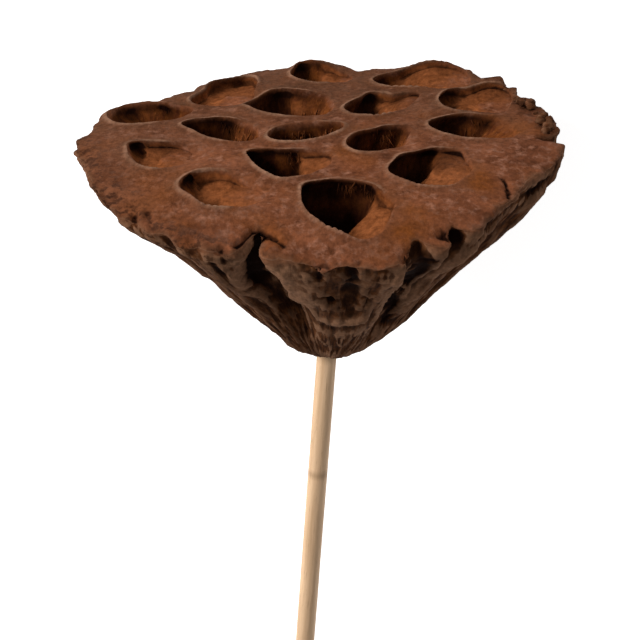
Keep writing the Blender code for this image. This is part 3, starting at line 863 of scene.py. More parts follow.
def wallPoint(number, turn, ring, top, middleTop, detail):
    # a place on a pocket's wall, and how pale it is: fully on a papery shelf, and partly on swellings
    # and sloping sides, where the paleness is a painted highlight
    deep, size, shelfSize = ring
    pocket = pocketSet[number]
    x, y, depth = pocket.x, pocket.y, pocket.depth
    edge = Vector(mouthPoint(pocket, turn)) - Vector((x, y))
    direction = math.degrees(math.atan2(edge.y, edge.x))
    slope = slopeShare(pocket, direction)
    back = max(0.0, math.sin(math.radians(direction))) * detail["backUndercut"]
    bend = math.sin(math.pi * min(1.0, deep / detail["undercutLevel"]))
    size += back * (1 - pocket.slopes / 2) * bend
    if depth < detail["bowlBelow"]:
        size *= math.sqrt(max(0.0, 1 - deep**2)) ** detail["bowlPower"]
    share, power = detail["slopeWall"]
    size = between(size, min(size, 1 - share * (1 - (1 - deep) ** power)), slope)
    lean = Vector((pocket.shiftX, pocket.shiftY)) - Vector((x, y)) * podShape["leanIn"]
    floor = faceHeight(x, y) - depth
    if number in pocketShelves:
        toward, start, drop, curve, dome, backRise = pocketShelves[number]
        rising = Vector((math.cos(math.radians(toward)), math.sin(math.radians(toward))))
        extent = mouthReach(pocket, toward)
        inShelf = stepUp(((edge * shelfSize).dot(rising) - start) / detail["shelfEdge"] + 0.5)
        place = edge * between(size, shelfSize, inShelf) + lean * deep * (1 - inShelf)
        inShelf = stepUp((place.dot(rising) - start) / detail["shelfEdge"] + 0.5)
        along = min(1.0, max(0.0, (extent - place.dot(rising)) / (extent - start)))
        side = place.dot(Vector((-rising.y, rising.x))) / pocket.halfWidth
        backFrom, backOver = detail["shelfBack"]
        drop *= 1 - backRise * stepUp((side + backFrom) / backOver)
        level = between(middleTop, top, shelfSize) - drop * along**curve
        level -= dome * min(0.0, side) ** 2 * along
        step = detail["shelfStep"] * (1 - detail["shelfStepEase"] * slope)
        level -= step * stepUp(deep / detail["shelfStepLevel"])
        z = between(between(top, floor, deep), max(level, floor), inShelf)
        return Vector((x + place.x, y + place.y, z)), inShelf
    reach = edge.length * size
    lobed = 0.0
    for pocketNumber, middle, level, push, width, tall in wallLobes:
        if pocketNumber == number:
            off = degreesApart(direction, middle) / width
            bell = math.exp(-(off**4) - ((deep - level) / tall) ** 2)
            reach -= push * bell
            lobed = max(lobed, bell * min(1.0, push / detail["fullLobe"]))
    place = edge.normalized() * max(0.0, reach) + lean * deep
    # paler swellings, papery with a painted highlight, and a painted highlight on the sloping side
    opened = max(detail["lobePaperAndHighlight"] * lobed, detail["slopeHighlight"] * slope * (1 - deep))
    return Vector((x + place.x, y + place.y, between(top, floor, deep))), opened


def shredShare(number, direction, deep):
    for pocketNumber, middle, width, top, low in wallShreds:
        facing = abs(degreesApart(direction, middle)) < width
        if pocketNumber == number and facing and top < deep < low:
            return 1.0
    return 0.0


def roughness(angle, fromRim):
    most = podDetail["roughLeast"]
    for middle, width, strength in roughRim:
        most = max(most, strength * math.exp(-((degreesApart(angle, middle) / width) ** 2)))
    return most * max(0.0, 1 - fromRim / podDetail["roughReach"]) ** podDetail["roughPower"]


def duskAt(x, y):
    # the face is duller at the back and on the left
    backFrom, backOver = podDetail["duskBack"]
    leftFrom, leftOver, leftShare = podDetail["duskLeft"]
    return stepUp((y + backFrom) / backOver) + leftShare * stepUp((-x - leftFrom) / leftOver)


podNotes = ("flank", "deep", "lip", "soot", "worn", "warm", "dusk", "opened", "shreds", "rough")


def podSkin(detail):
    skin = bmesh.new()
    layers = {name: skin.verts.layers.float.new(name) for name in podNotes}
    flowLayer = skin.verts.layers.float_vector.new("flow")

    def corner(place, flow, **notes):
        vert = skin.verts.new(place)
        vert[flowLayer] = flow
        for name, value in notes.items():
            vert[layers[name]] = value
        return vert

    angles = [360 * step / detail["rimSteps"] - 180 for step in range(detail["rimSteps"])]
    turns = [math.tau * step / detail["mouthSteps"] for step in range(detail["mouthSteps"])]
    rim = [rimPoint(angle) for angle in angles]
    outline = [(point.x, point.y) for point in rim]
    loops = [list(range(len(rim)))]
    for pocket in pocketSet:
        first = len(outline)
        outline += [mouthPoint(pocket, turn) for turn in turns]
        loops.append(list(range(first, first + len(turns))))
    edges = [(loop[i - 1], loop[i]) for loop in loops for i in range(len(loop))]
    flat = [Vector(point) for point in outline + facePoints(detail)]
    points, _, faces, sources, _, _ = delaunay_2d_cdt(flat, edges, [], 1, 1e-6)
    madeFrom = {source: i for i, group in enumerate(sources) for source in group}
    heights = {madeFrom[i]: rim[i].z for i in range(len(rim))}
    verts = []
    for i, point in enumerate(points):
        z = heights[i] if i in heights else faceHeight(point.x, point.y)
        onRim = 1.0 if i in heights else 0.0
        angle = math.degrees(math.atan2(point.y, point.x))
        rough = roughness(angle, max(0.0, smoothRim(angle)[0] - point.length))
        lip = max(0.9 * onRim, lipShare(point.x, point.y))
        dusk = duskAt(point.x, point.y)
        place = (point.x, point.y, z)
        verts.append(corner(place, place, lip=lip, flank=0.3 * onRim, rough=rough, dusk=dusk))
    mouths = [[outline[i] for i in loop] for loop in loops[1:]]
    for face in faces:
        middle = sum((points[i] for i in face), Vector((0, 0))) / len(face)
        if not any(insideLoop(mouth, middle.x, middle.y) for mouth in mouths):
            skin.faces.new([verts[i] for i in face])

    def sleeve(ring, new):
        for i in range(len(ring)):
            skin.faces.new((ring[i - 1], ring[i], new[i], new[i - 1]))
        return new

    def close(ring, tip):
        for i in range(len(ring)):
            skin.faces.new((ring[i - 1], ring[i], tip))

    for number, (pocket, loop) in enumerate(zip(pocketSet, loops[1:])):
        ring = [verts[madeFrom[i]] for i in loop]
        tops = [faceHeight(*mouthPoint(pocket, turn)) for turn in turns]
        span = (pocket.halfLength + pocket.halfWidth) / 2
        middleTop = sum(tops) / len(tops)
        shade, shadeAt, shadeTall = detail["topShade"]
        for ringPlace in wallRings:
            new = []
            for turn, top in zip(turns, tops):
                place, opened = wallPoint(number, turn, ringPlace, top, middleTop, detail)
                aside = Vector((place.x - pocket.x, place.y - pocket.y, 0)).normalized() * span
                direction = math.degrees(math.atan2(aside.y, aside.x))
                drop = -detail["wallFlow"] * pocket.depth * ringPlace[0]
                flow = (Vector((pocket.x, pocket.y, drop)) + aside).lerp(place, opened)
                under = top - place.z
                # painted shade: darker on the left side of each wall, where the shadow from the left
                # lip falls, and a painted shadow as a dark line under the back lip
                soot = pocket.soot * (0.5 - 0.5 * aside.x / span) * (1 - opened)
                topLine = math.exp(-(((under - shadeAt) / shadeTall) ** 2)) * max(0.0, aside.y / span)
                soot += shade * topLine * (1 - 0.7 * slopeShare(pocket, direction))
                notes = {
                    "deep": under / detail["fullDeep"],
                    "lip": max(0.0, 1 - under / detail["wallLip"]) * (1 - opened),
                    "soot": soot,
                    "opened": opened,
                    "shreds": shredShare(number, direction, ringPlace[0]),
                }
                new.append(corner(place, flow, **notes))
            ring = sleeve(ring, new)
        lowest = (1.0, 0.0, 0.0)
        floor, opened = wallPoint(number, 0.0, lowest, middleTop, middleTop, detail)
        deep = (middleTop - floor.z) / detail["fullDeep"]
        # painted shade on the pocket's floor
        soot = pocket.soot / 2 * (1 - opened)
        close(ring, corner(floor, floor, deep=deep, soot=soot, opened=opened))

    def around(angle, down):
        turn = math.radians(angle)
        radius, drop = detail["flankFlow"]
        return (radius * math.cos(turn), radius * math.sin(turn), -drop * down)

    ring = [verts[madeFrom[i]] for i in loops[0]]
    for row in range(1, detail["flankRows"] + 1):
        down = (row / detail["flankRows"]) ** detail["flankRowPower"]
        flank = min(1.0, 0.5 + down / 0.05)
        new = []
        for angle in angles:
            rough = roughness(angle, detail["flankLength"] * down)
            place = funnelPoint(angle, down)
            new.append(corner(place, around(angle, down), flank=flank, rough=rough))
        ring = sleeve(ring, new)
    # the socket: in at the base, up beside the stick, closed at its top, and filled with painted shade
    for deep in (0.0, 0.5, 1.0):
        middle = podBase - stickAxis * lying["socketDepth"] * deep
        places = []
        for angle in angles:
            turn = math.radians(angle)
            places.append(middle + Vector((math.cos(turn), math.sin(turn), 0)) * detail["socketRadius"])
        ring = sleeve(ring, [corner(place, place, flank=1.0, soot=1.0) for place in places])
    close(ring, corner(podBase - stickAxis * lying["socketDepth"], podBase, flank=1.0, soot=1.0))
    bmesh.ops.recalc_face_normals(skin, faces=skin.faces)
    mesh = bpy.data.meshes.new("podSkin")
    skin.to_mesh(mesh)
    skin.free()
    return mesh


# Marks on the skin: half width, depth (a ridge is negative), painted shade along the mark (dark folds,
# hollows and slits), grey, then the points that it runs through
skinMarks = (
    # the front notch: the slit, the flap beside it and the black fold under it
    (0.7, 1.3, 0.8, 0.0,
        ((-15.5, -37.8, -5.5), (-14.6, -37.1, -4.9), (-13.5, -36.1, -4.3), (-12.4, -34.4, -3.8))),
    (1.7, -1.1, 0.0, 0.45, ((-16.6, -38.8, -6.4), (-14.6, -37.2, -6.6), (-13.0, -35.8, -5.4))),
    (1.7, 1.6, 1.0, 0.0,
        ((-11.0, -35.2, -5.4), (-11.6, -34.2, -8.5), (-12.1, -32.4, -12.5), (-10.8, -28.7, -17.3))),
    (2.5, 0.8, 0.9, 0.0, ((-12.4, -34.0, -9.4), (-12.6, -32.6, -12.0), (-12.0, -31.0, -14.4))),
    (1.8, 1.0, 0.25, 0.0, ((-10.8, -28.7, -17.3), (-8.8, -25.4, -20.7), (-6.4, -20.0, -26.5))),
    (0.8, 1.0, 0.6, 0.0, ((-18.0, -38.6, -5.4), (-17.4, -39.2, -6.3), (-17.3, -38.8, -7.7))),
    (0.9, -0.8, 0.0, 0.4, ((-20.9, -38.1, -5.0), (-18.9, -38.0, -5.0))),
    (0.6, 0.7, 0.45, 0.0, ((-9.7, -35.2, -4.0), (-8.4, -36.3, -4.5), (-6.9, -37.9, -5.2))),
    (0.7, -0.6, 0.0, 0.0, ((-9.2, -33.9, -3.9), (-7.6, -35.0, -4.3), (-6.0, -36.6, -5.0))),
    # the grey ridge that runs round the front hollow
    (2.6, -1.2, 0.0, 0.9,
        ((-8.6, -38.8, -6.0), (-7.4, -39.4, -9.0), (-6.0, -35.5, -13.5), (-4.6, -30.0, -19.5))),
    (1.7, -0.5, 0.0, 0.6,
        ((-4.6, -30.0, -19.5), (-2.4, -27.0, -25.0), (1.7, -26.6, -27.2), (5.5, -28.0, -26.0))),
    (1.2, -0.8, 0.0, 0.5,
        ((5.5, -28.0, -26.0), (9.6, -29.4, -23.5), (12.3, -33.6, -18.0), (13.8, -37.4, -13.6),
         (14.0, -41.2, -9.6))),
    # the hollow, its dark left wall, its middle ridge and its pits
    (4.8, 1.2, 0.18, 0.0, ((1.4, -42.2, -9.8), (2.4, -39.0, -14.0), (3.6, -35.8, -17.6))),
    (2.6, 0.9, 0.12, 0.0, ((10.0, -41.6, -9.6), (9.6, -37.0, -15.5))),
    (1.2, 0.9, 0.55, 0.0, ((-1.4, -42.6, -6.9), (-1.1, -42.6, -8.6), (-0.9, -41.1, -11.2))),
    (1.0, 0.8, 0.50, 0.0, ((5.6, -42.8, -8.4), (5.6, -40.5, -12.1), (5.2, -36.8, -16.4))),
    (0.9, -0.4, 0.0, 0.45, ((7.3, -43.0, -7.8), (7.5, -41.5, -11.0), (7.3, -37.2, -16.2))),
    (1.2, 1.6, 0.95, 0.0, ((0.9, -34.6, -18.8), (1.4, -34.2, -19.3))),
    (0.9, 1.2, 0.75, 0.0, ((8.8, -34.9, -18.4), (8.9, -34.2, -19.2))),
    (2.2, 0.2, 0.12, 0.0, ((-1.6, -30.0, -22.5), (3.0, -30.4, -22.8), (7.6, -31.2, -21.8))),
    (1.6, -0.2, 0.0, 0.3,
        ((-3.6, -21.6, -30.0), (1.4, -22.0, -31.4), (6.4, -23.2, -30.2), (10.6, -25.0, -27.0))),
    (1.6, 0.15, 0.10, 0.0, ((-2.6, -24.2, -28.0), (2.4, -24.4, -29.3), (7.2, -25.4, -28.2))),
    # teeth of the face's edge over the hollow
    (0.8, -0.9, 0.0, 0.0, ((0.0, -43.6, -6.8), (0.4, -44.0, -7.8))),
    (0.8, -0.8, 0.0, 0.0, ((3.4, -44.0, -6.9), (3.8, -44.2, -7.6))),
    # the dark folds on the right and the ridge beside them
    (1.9, 1.8, 0.75, 0.0,
        ((16.4, -39.4, -6.6), (15.6, -38.4, -9.6), (14.3, -33.0, -16.2), (13.9, -21.0, -26.6),
         (12.9, -15.3, -33.2))),
    (2.3, 1.5, 0.85, 0.0,
        ((23.4, -33.8, -6.2), (20.4, -35.2, -9.2), (18.5, -32.1, -13.7), (16.9, -27.2, -18.9))),
    (1.0, 1.0, 0.8, 0.0, ((22.8, -33.8, -5.0), (25.4, -32.9, -5.6))),
    (1.4, -0.5, 0.0, 0.7,
        ((27.4, -31.2, -9.4), (23.5, -29.5, -13.8), (19.0, -24.6, -19.4), (15.8, -17.0, -28.0))),
    (1.2, -0.8, 0.0, 0.35, ((19.4, -38.6, -5.6), (20.8, -37.4, -6.4))),
    # the hollow under the right edge, and the light edge over it
    (1.4, 1.5, 0.8, 0.0,
        ((27.0, -31.6, -7.8), (31.4, -29.1, -6.0), (36.8, -22.6, -5.8), (41.0, -15.2, -5.0),
         (44.4, -9.0, -4.2))),
    (0.9, -0.6, 0.0, 0.5,
        ((29.1, -29.9, -3.6), (32.3, -26.6, -3.2), (36.6, -21.4, -2.8), (41.6, -13.0, -2.2))),
    (0.5, 0.8, 0.5, 0.0,
        ((34.7, -16.2, -1.0), (35.3, -18.5, -1.4), (35.5, -21.0, -1.9), (35.2, -22.6, -2.3))),
    # small scars on the left edge
    (0.7, 0.7, 0.45, 0.0, ((-41.2, -18.9, -2.9), (-40.4, -19.8, -3.1))),
    (0.6, -0.5, 0.0, 0.3, ((-39.8, -19.8, -1.9), (-38.8, -20.2, -1.8))),
    (0.6, 0.8, 0.40, 0.0, ((-34.6, -29.0, -3.0), (-34.2, -30.8, -3.8))),
    (0.6, -0.7, 0.0, 0.3, ((-33.5, -28.6, -2.8), (-32.7, -31.6, -3.5), (-31.7, -33.6, -4.0))),
    (0.6, 0.6, 0.30, 0.0, ((-32.4, -28.4, -2.7), (-31.4, -31.4, -3.5))),
    # slanting lines on the left flank
    (0.8, 0.9, 0.5, 0.0,
        ((-19.8, -38.6, -8.6), (-16.4, -34.2, -15.4), (-12.2, -26.6, -23.4), (-8.4, -19.4, -31.0))),
    (0.9, -0.8, 0.0, 0.5, ((-18.2, -38.6, -9.4), (-14.6, -33.0, -16.6), (-10.4, -25.4, -24.6))),
    (0.8, 0.8, 0.5, 0.0, ((-23.6, -36.6, -9.4), (-18.6, -30.6, -18.4), (-13.4, -23.8, -26.4))),
    (0.7, 0.8, 0.5, 0.0, ((-28.6, -32.4, -8.8), (-22.4, -27.4, -17.6))),
)
markEdge = {"waver": 0.45, "size": 1.7, "darkPower": 1.6, "greySpread": 1.3}
# Warm patches on the face: x, y, radius, strength
warmPatches = (
    (-33.5, -26.0, 4.5, 0.7), (-9.5, -34.5, 3.0, 0.7), (-7.5, -37.0, 2.5, 0.5),
    (15.5, -35.0, 3.5, 0.8), (17.0, -29.0, 3.0, 0.7), (30.0, -13.5, 3.2, 0.8),
    (30.0, -19.5, 3.0, 0.6), (4.0, -5.0, 2.6, 0.5), (-12.8, 25.7, 2.6, 0.6), (21.3, 13.7, 3.0, 0.6),
    (-15.0, -21.0, 4.0, 0.5), (-28.5, -7.5, 4.0, 0.6), (37.0, 26.0, 4.0, 0.6),
    (40.0, 8.0, 3.0, 0.7), (-30.0, -24.0, 3.0, 0.3), (24.0, -10.0, 4.0, 0.4),
)


def markSkin(mesh):
    count = len(mesh.vertices)
    places = np.empty(count * 3)
    normals = np.empty(count * 3)
    mesh.vertices.foreach_get("co", places)
    mesh.vertex_normals.foreach_get("vector", normals)
    places = places.reshape(-1, 3)
    normals = normals.reshape(-1, 3)
    soot = np.empty(count)
    worn = np.zeros(count)
    warm = np.zeros(count)
    mesh.attributes["soot"].data.foreach_get("value", soot)
    push = np.zeros(count)
    waver = np.array([noise.noise(Vector(place) / markEdge["size"]) for place in places])
    for width, depth, darkens, greys, run in skinMarks:
        away = np.full(count, 1e9)
        for a, b in zip(run[:-1], run[1:]):
            a, b = np.array(a), np.array(b)
            along = np.clip(((places - a) @ (b - a)) / ((b - a) @ (b - a)), 0, 1)
            nearest = places - a - along[:, None] * (b - a)
            away = np.minimum(away, np.linalg.norm(nearest, axis=1))
        away *= 1 + markEdge["waver"] * waver
        bell = np.exp(-((away / width) ** 2))
        push -= depth * bell
        # painted shade along the folds, slits and hollows
        soot += darkens * bell ** markEdge["darkPower"]
        worn += greys * np.exp(-((away / width / markEdge["greySpread"]) ** 2))
    for x, y, radius, strength in warmPatches:
        away = np.hypot(places[:, 0] - x, places[:, 1] - y) / radius
        warm += strength * np.exp(-(away**2)) * (places[:, 2] > podDetail["warmAbove"])
    places += normals * push[:, None]
    mesh.vertices.foreach_set("co", places.ravel())
    for name, values in (("soot", soot), ("worn", worn), ("warm", warm)):
        mesh.attributes[name].data.foreach_set("value", np.clip(values, 0, 1))
    mesh.update()


# Fine relief of the skin: heights in millimetres
reliefLook = {
    "Lump Height": 0.50,
    "Lump Scale": 230.0,
    "Crumple Height": 0.50,
    "Crumple Scale": 700.0,
    "Wrinkle Height": 0.8,
    "Wrinkle Scale": 0.30,
    "Ridge Height": 0.35,
    "Ridge Scale": 0.42,
    "Flake Height": 0.22,
    "Flake Scale": 1.1,
    "Scale Height": 2.1,
    "Scale Size": 380.0,
    "Seed": 4.0,
    "blurRounds": 10,
    "hollowScale": 3500.0,  # makes the standing out about -1 to 1
}


def reliefTree(material, look):
    tree, given = startTree("skinRelief", look)
    place = addNode(tree, "GeometryNodeInputPosition").outputs[0]
    normal = addNode(tree, "GeometryNodeInputNormal").outputs[0]
    flow = readField(tree, "flow", "FLOAT_VECTOR")
    flank = readField(tree, "flank")
    deep = readField(tree, "deep")
    seed = given.outputs["Seed"]

    def layer(vector, size, detail, rough):
        return noiseAt(tree, vector, given.outputs[size], detail, rough, seed)

    lump = layer(place, "Lump Scale", 2.0, 0.5)
    crumple = layer(place, "Crumple Scale", 3.0, 0.6)
    wrinkle = layer(flow, "Wrinkle Scale", 3.0, 0.6)
    flake = layer(flow, "Flake Scale", 3.0, 0.6)
    scaly = layer(place, "Scale Size", 3.0, 0.6)
    vein = layer(flow, "Ridge Scale", 2.0, 0.5)
    # thin ridges stand where the noise passes its middle
    vein = doMath(tree, "ABSOLUTE", minus(tree, vein, 0.5))
    vein = ramp(tree, vein, 0.0, 0.10, 1.0, 0.0)
    onFlank = doMath(tree, "MULTIPLY_ADD", flank, 0.85, 0.15)
    inPocket = ramp(tree, deep, 0.0, 0.12)

    def part(noise, height, weight):
        return times(tree, times(tree, minus(tree, noise, 0.5), given.outputs[height]), weight)

    total = part(lump, "Lump Height", doMath(tree, "MULTIPLY_ADD", flank, 0.3, 0.9))
    parts = (
        (crumple, "Crumple Height", doMath(tree, "MULTIPLY_ADD", flank, -0.2, 0.62)),
        (wrinkle, "Wrinkle Height", times(tree, onFlank, 1.6)),
        (flake, "Flake Height", plus(tree, onFlank, inPocket)),
        (vein, "Ridge Height", flank),
        (scaly, "Scale Height", readField(tree, "rough")),
    )
    for noise, height, weight in parts:
        total = plus(tree, total, part(noise, height, weight))
    offset = scaled(tree, normal, times(tree, total, mm))
    moved = moveBy(tree, given.outputs["Geometry"], offset)
    # hollow is how far the skin stands out from its blurred self, about -1 to 1
    values = {0: place, "Iterations": look["blurRounds"]}
    blurred = addNode(tree, "GeometryNodeBlurAttribute", values, data_type="FLOAT_VECTOR")
    blurredPlace = next(socket for socket in blurred.outputs if socket.enabled)
    standing = doVector(tree, "SUBTRACT", place, blurredPlace)
    standing = doVector(tree, "DOT_PRODUCT", standing, normal)
    hollow = times(tree, standing, look["hollowScale"])
    stored = storeField(tree, moved, "hollow", hollow)
    settled = keepAbove(tree, stored, place, lying["floorClear"] * mm)
    endTree(tree, settled, material)
    return tree


def makePod():
    pod = linkMesh("lotusPod", podSkin(podDetail))
    finer = pod.modifiers.new("finer", "SUBSURF")
    finer.levels = 1
    finer.render_levels = 1
    bake(pod)
    markSkin(pod.data)
    pod.data.transform(layDown)
    grow(pod, reliefTree(podMaterial(podColours), reliefLook), reliefLook)
    handOver(pod, "pod", "pod")
    return pod


lotusPod = makePod()

# Knobs on the ragged rim: x, y, z and radius, upright millimetres
rimBeads = (
    (34.6, 33.4, -0.3, 0.70), (37.0, 32.7, -0.5, 0.90), (38.6, 31.6, -0.6, 0.80),
    (39.3, 29.2, -0.5, 0.60), (41.9, 20.8, 0.2, 1.00), (43.2, 19.6, 0.3, 1.25),
    (43.4, 18.4, 0.0, 1.00), (41.4, 19.8, 0.4, 1.00), (40.6, 22.6, 0.0, 0.70),
    (44.0, 15.6, -0.6, 0.70), (45.2, 11.2, 0.7, 1.20), (46.1, 9.6, 0.4, 1.20),
    (45.8, 7.8, 0.0, 1.30), (45.2, 6.0, -0.4, 1.10), (44.6, 9.6, 0.5, 1.20),
    (45.0, 12.8, 0.2, 0.80),
)
beadLook = {
    "Lump Height": 0.85,
    "Lump Scale": 1250.0,
    "Flatten": 0.80,
    "Seed": 3.0,
}


def beadTree(material, look):
    tree, given = startTree("rimKnobs", look)
    values = {"Radius": mm, "Subdivisions": 2}
    ball = addNode(tree, "GeometryNodeMeshIcoSphere", values).outputs[0]
    size = readField(tree, "size")
    across = joined(tree, size, times(tree, size, given.outputs["Flatten"]), size)
    loose = strew(tree, given.outputs["Geometry"], ball, Scale=across)
    place = addNode(tree, "GeometryNodeInputPosition").outputs[0]
    normal = addNode(tree, "GeometryNodeInputNormal").outputs[0]
    seed = given.outputs["Seed"]
    lump = noiseAt(tree, place, given.outputs["Lump Scale"], 3.0, 0.6, seed)
    height = times(tree, given.outputs["Lump Height"], 2 * mm)
    push = times(tree, minus(tree, lump, 0.5), height)
    moved = moveBy(tree, loose, scaled(tree, normal, push))
    # painted shade in the dips of the knobs, grey on their bumps, and a darker tone all over
    hollow = times(tree, minus(tree, lump, 0.48), 5.0)
    painted = paintLike(tree, moved, flank=0.8, worn=0.10, soot=0.25, hollow=hollow)
    endTree(tree, painted, material)
    return tree


def makeBeads():
    spots = bpy.data.meshes.new("rimKnobs")
    spots.from_pydata([layDown @ Vector(bead[:3]) for bead in rimBeads], [], [])
    sizes = spots.attributes.new("size", "FLOAT", "POINT")
    sizes.data.foreach_set("value", [bead[3] for bead in rimBeads])
    knobs = linkMesh("rimKnobs", spots)
    grow(knobs, beadTree(lotusPod.data.materials[0], beadLook), beadLook)
    handOver(knobs, "pod")


makeBeads()

# Papery shreds that hang on the pocket walls
shredLook = {
    "Density": 1500000.0,  # on a square metre
    "Length": 2.6,  # millimetres
    "Width": 0.22,
    "Thin": 0.45,
    "Spread": 0.42,
    "Lift": 0.20,
    "Seed": 5,
    "tip": 0.05,  # share of the width
    "shortest": 0.35,  # share of the length
}


def shredTree(material, look):
    tree, given = startTree("pocketShreds", look)
    seed = given.outputs["Seed"]
    density = times(tree, readField(tree, "shreds"), given.outputs["Density"])
    values = {"Mesh": given.outputs["Geometry"], "Density": density, "Seed": seed}
    spots = addNode(tree, "GeometryNodeDistributePointsOnFaces", values)
    values = {"Vertices": 5, "Side Segments": 4, "Radius Bottom": mm, "Depth": mm}
    values["Radius Top"] = look["tip"] * mm
    fibre = addNode(tree, "GeometryNodeMeshCone", values).outputs["Mesh"]
    values = {0: (-1.0, -1.0, -1.0), 1: (1.0, 1.0, 1.0), "Seed": seed}
    wander = addNode(tree, "FunctionNodeRandomValue", values, data_type="FLOAT_VECTOR").outputs[0]
    lift = scaled(tree, spots.outputs["Normal"], given.outputs["Lift"])
    lifted = doVector(tree, "ADD", tuple(turnOver @ Vector((0, 0, -1))), lift)
    along = doVector(tree, "ADD", lifted, scaled(tree, wander, given.outputs["Spread"]))
    turned = addNode(tree, "FunctionNodeAlignRotationToVector", {"Vector": along}, axis="Z")
    values = {2: look["shortest"], 3: 1.0, "Seed": seed}
    share = addNode(tree, "FunctionNodeRandomValue", values, data_type="FLOAT").outputs[1]
    width = times(tree, given.outputs["Width"], share)
    thin = times(tree, width, given.outputs["Thin"])
    size = joined(tree, width, thin, times(tree, given.outputs["Length"], share))
    loose = strew(tree, spots.outputs["Points"], fibre, Rotation=turned.outputs[0], Scale=size)
    endTree(tree, paintLike(tree, loose, deep=0.12, opened=1.0), material)
    return tree


def makeShreds():
    shreds = linkMesh("pocketShreds", lotusPod.data.copy())
    grow(shreds, shredTree(lotusPod.data.materials[0], shredLook), shredLook)
    handOver(shreds, "pod")


makeShreds()

# Stick
stickLook = {
    "Length Steps": 420,
    "Round Steps": 36,
    "Fibre Height": 0.10,
    "Fibre Scale": 1.5,
    "Wander": 0.16,
    "End Share": 0.93,
    "Seed": 8.0,
    "knotBelowBase": 30.0,
    "fibreStretch": 0.045,
    "wanderScale": 0.03,
    "light": (0.83, 0.56, 0.34, 1),
    "dark": (0.62, 0.39, 0.22, 1),
    "grain": (0.30, 0.16, 0.08, 1),
}


def stickMaterial(look):
    made, tree, shader = startMaterial("bareWood")
    grainPlace = readShade(tree, "grain", "Vector")
    along = readShade(tree, "along")
    band = noiseAt(tree, grainPlace, 0.9, 3.0, 0.55, 1.0)
    fibre = noiseAt(tree, grainPlace, 4.5, 4.0, 0.7, 3.0)
    wood = mixColour(tree, ramp(tree, band, 0.38, 0.68), look["light"], look["dark"])
    wood = mixColour(tree, ramp(tree, fibre, 0.56, 0.74, 0.0, 0.75), wood, look["grain"])
    knotAt = look["knotBelowBase"] + lying["socketDepth"]
    knot = doMath(tree, "ABSOLUTE", minus(tree, along, knotAt))
    wood = mixColour(tree, ramp(tree, knot, 1.4, 0.2, 0.0, 0.45), wood, look["grain"])
    base = lying["socketDepth"]
    nearPod = ramp(tree, along, base + 2.6, base - 0.5, 0.0, 0.7)
    wood = mixColour(tree, nearPod, wood, look["grain"])
    tree.links.new(wood, shader.inputs["Base Color"])
    tree.links.new(ramp(tree, fibre, 0.3, 0.7, 0.55, 0.75), shader.inputs["Roughness"])
    shader.inputs["Specular IOR Level"].default_value = 0.35
    values = {"Strength": 0.5, "Distance": 0.15 * mm, "Height": fibre}
    bump = addNode(tree, "ShaderNodeBump", values)
    tree.links.new(bump.outputs[0], shader.inputs["Normal"])
    return made


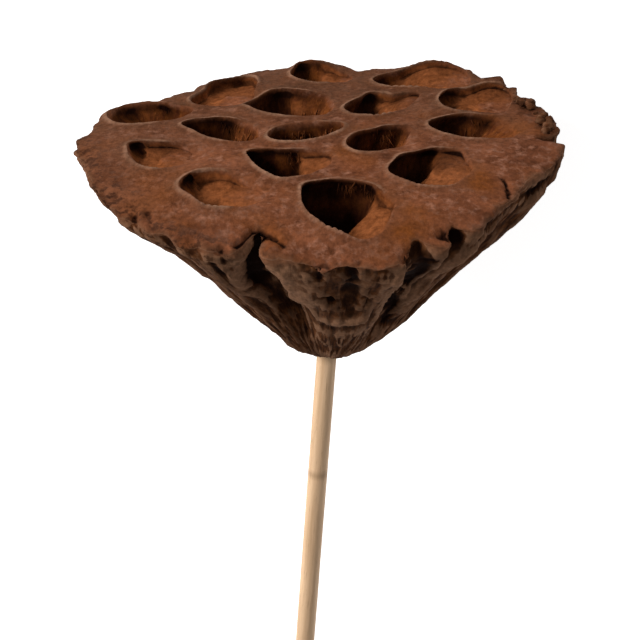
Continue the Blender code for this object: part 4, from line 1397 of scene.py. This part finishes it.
def stickTree(material, look):
    tree, given = startTree("stickRod", look)
    start = layDown @ stickTop
    end = layDown @ stickEnd
    axis = tuple((end - start).normalized())
    line = addNode(tree, "GeometryNodeCurvePrimitiveLine", {"Start": start, "End": end})
    values = {"Curve": line.outputs[0], "Count": given.outputs["Length Steps"]}
    fine = addNode(tree, "GeometryNodeResampleCurve", values)
    share = addNode(tree, "GeometryNodeSplineParameter").outputs["Factor"]
    narrower = minus(tree, given.outputs["End Share"], 1.0)
    taper = doMath(tree, "MULTIPLY_ADD", share, narrower, 1.0)
    values = {"Curve": fine.outputs[0], "Radius": taper}
    tapered = addNode(tree, "GeometryNodeSetCurveRadius", values)
    values = {"Resolution": given.outputs["Round Steps"], "Radius": lying["stickRadiusTop"] * mm}
    ring = addNode(tree, "GeometryNodeCurvePrimitiveCircle", values)
    values = {"Curve": tapered.outputs[0], "Profile Curve": ring.outputs[0], "Fill Caps": True}
    swept = addNode(tree, "GeometryNodeCurveToMesh", values)
    place = addNode(tree, "GeometryNodeInputPosition").outputs[0]
    fromStart = doVector(tree, "SUBTRACT", place, tuple(start))
    along = doVector(tree, "DOT_PRODUCT", fromStart, axis)
    aside = doVector(tree, "SUBTRACT", fromStart, scaled(tree, axis, along))
    outward = doVector(tree, "NORMALIZE", aside)
    alongMm = doMath(tree, "DIVIDE", along, mm)
    lengthwise = scaled(tree, axis, times(tree, alongMm, look["fibreStretch"]))
    grain = doVector(tree, "ADD", scaled(tree, outward, 2.0), lengthwise)
    seed = given.outputs["Seed"]
    fibre = noiseAt(tree, grain, given.outputs["Fibre Scale"], 3.0, 0.6, seed)
    wander = noiseAt(tree, scaled(tree, axis, alongMm), look["wanderScale"], 1.0, 0.5, seed)
    push = times(tree, minus(tree, fibre, 0.55), given.outputs["Fibre Height"])
    offset = scaled(tree, outward, times(tree, push, mm))
    sway = times(tree, minus(tree, wander, 0.5), times(tree, given.outputs["Wander"], mm))
    sideways = scaled(tree, (1, 0, 0), sway)
    grained = storeField(tree, swept.outputs[0], "grain", grain, "FLOAT_VECTOR")
    measured = storeField(tree, grained, "along", alongMm)
    moved = moveBy(tree, measured, doVector(tree, "ADD", offset, sideways))
    endTree(tree, keepAbove(tree, moved, place, 0.0), material)
    return tree


def makeStick():
    stick = linkMesh("woodStick", bpy.data.meshes.new("woodStick"))
    grow(stick, stickTree(stickMaterial(stickLook), stickLook), stickLook)
    handOver(stick, "stick", "stick")


makeStick()

# Floor and light
studio = {
    "floorSize": 14.0,
    "floor": (0.90, 0.90, 0.90, 1),
    "floorGlow": 0.88,
    "world": (1.0, 1.0, 1.0, 1),
    "worldStrength": 0.21,
    # where each area light stands, upright millimetres from the face's middle; size, power, colour
    "lights": (
        ("keyLight", (-720.0, -400.0, 430.0), 0.34, 7.9, (1.0, 0.99, 0.97)),
        ("frontLight", (-80.0, -776.0, 160.0), 0.60, 0.5, (1.0, 1.0, 1.0)),
    ),
}


def makeStudio(look):
    plane = bmesh.new()
    bmesh.ops.create_grid(plane, x_segments=1, y_segments=1, size=look["floorSize"] / 2)
    mesh = bpy.data.meshes.new("floor")
    plane.to_mesh(mesh)
    plane.free()
    floor = linkMesh("floor", mesh)
    paper, _, shader = startMaterial("paleFloor")
    paint = {
        "Base Color": look["floor"],
        "Roughness": 0.9,
        "Specular IOR Level": 0.1,
        "Emission Color": look["floor"],
        "Emission Strength": look["floorGlow"],
    }
    for name, value in paint.items():
        shader.inputs[name].default_value = value
    mesh.materials.append(paper)
    world = bpy.data.worlds.new("studio")
    world.use_nodes = True
    sky = world.node_tree.nodes["Background"]
    sky.inputs[0].default_value = look["world"]
    sky.inputs[1].default_value = look["worldStrength"]
    bpy.context.scene.world = world
    faceMiddle = layDown @ Vector((0, 0, 0))
    for name, place, size, power, colour in look["lights"]:
        data = bpy.data.lights.new(name, "AREA")
        data.shape = "DISK"
        data.size = size
        data.energy = power
        data.color = colour
        light = bpy.data.objects.new(name, data)
        bpy.context.scene.collection.objects.link(light)
        light.location = layDown @ Vector(place)
        light.rotation_mode = "QUATERNION"
        light.rotation_quaternion = (faceMiddle - light.location).to_track_quat("-Z", "Y")
    bpy.context.scene.view_settings.view_transform = "Standard"


makeStudio(studio)
print("studio ready")
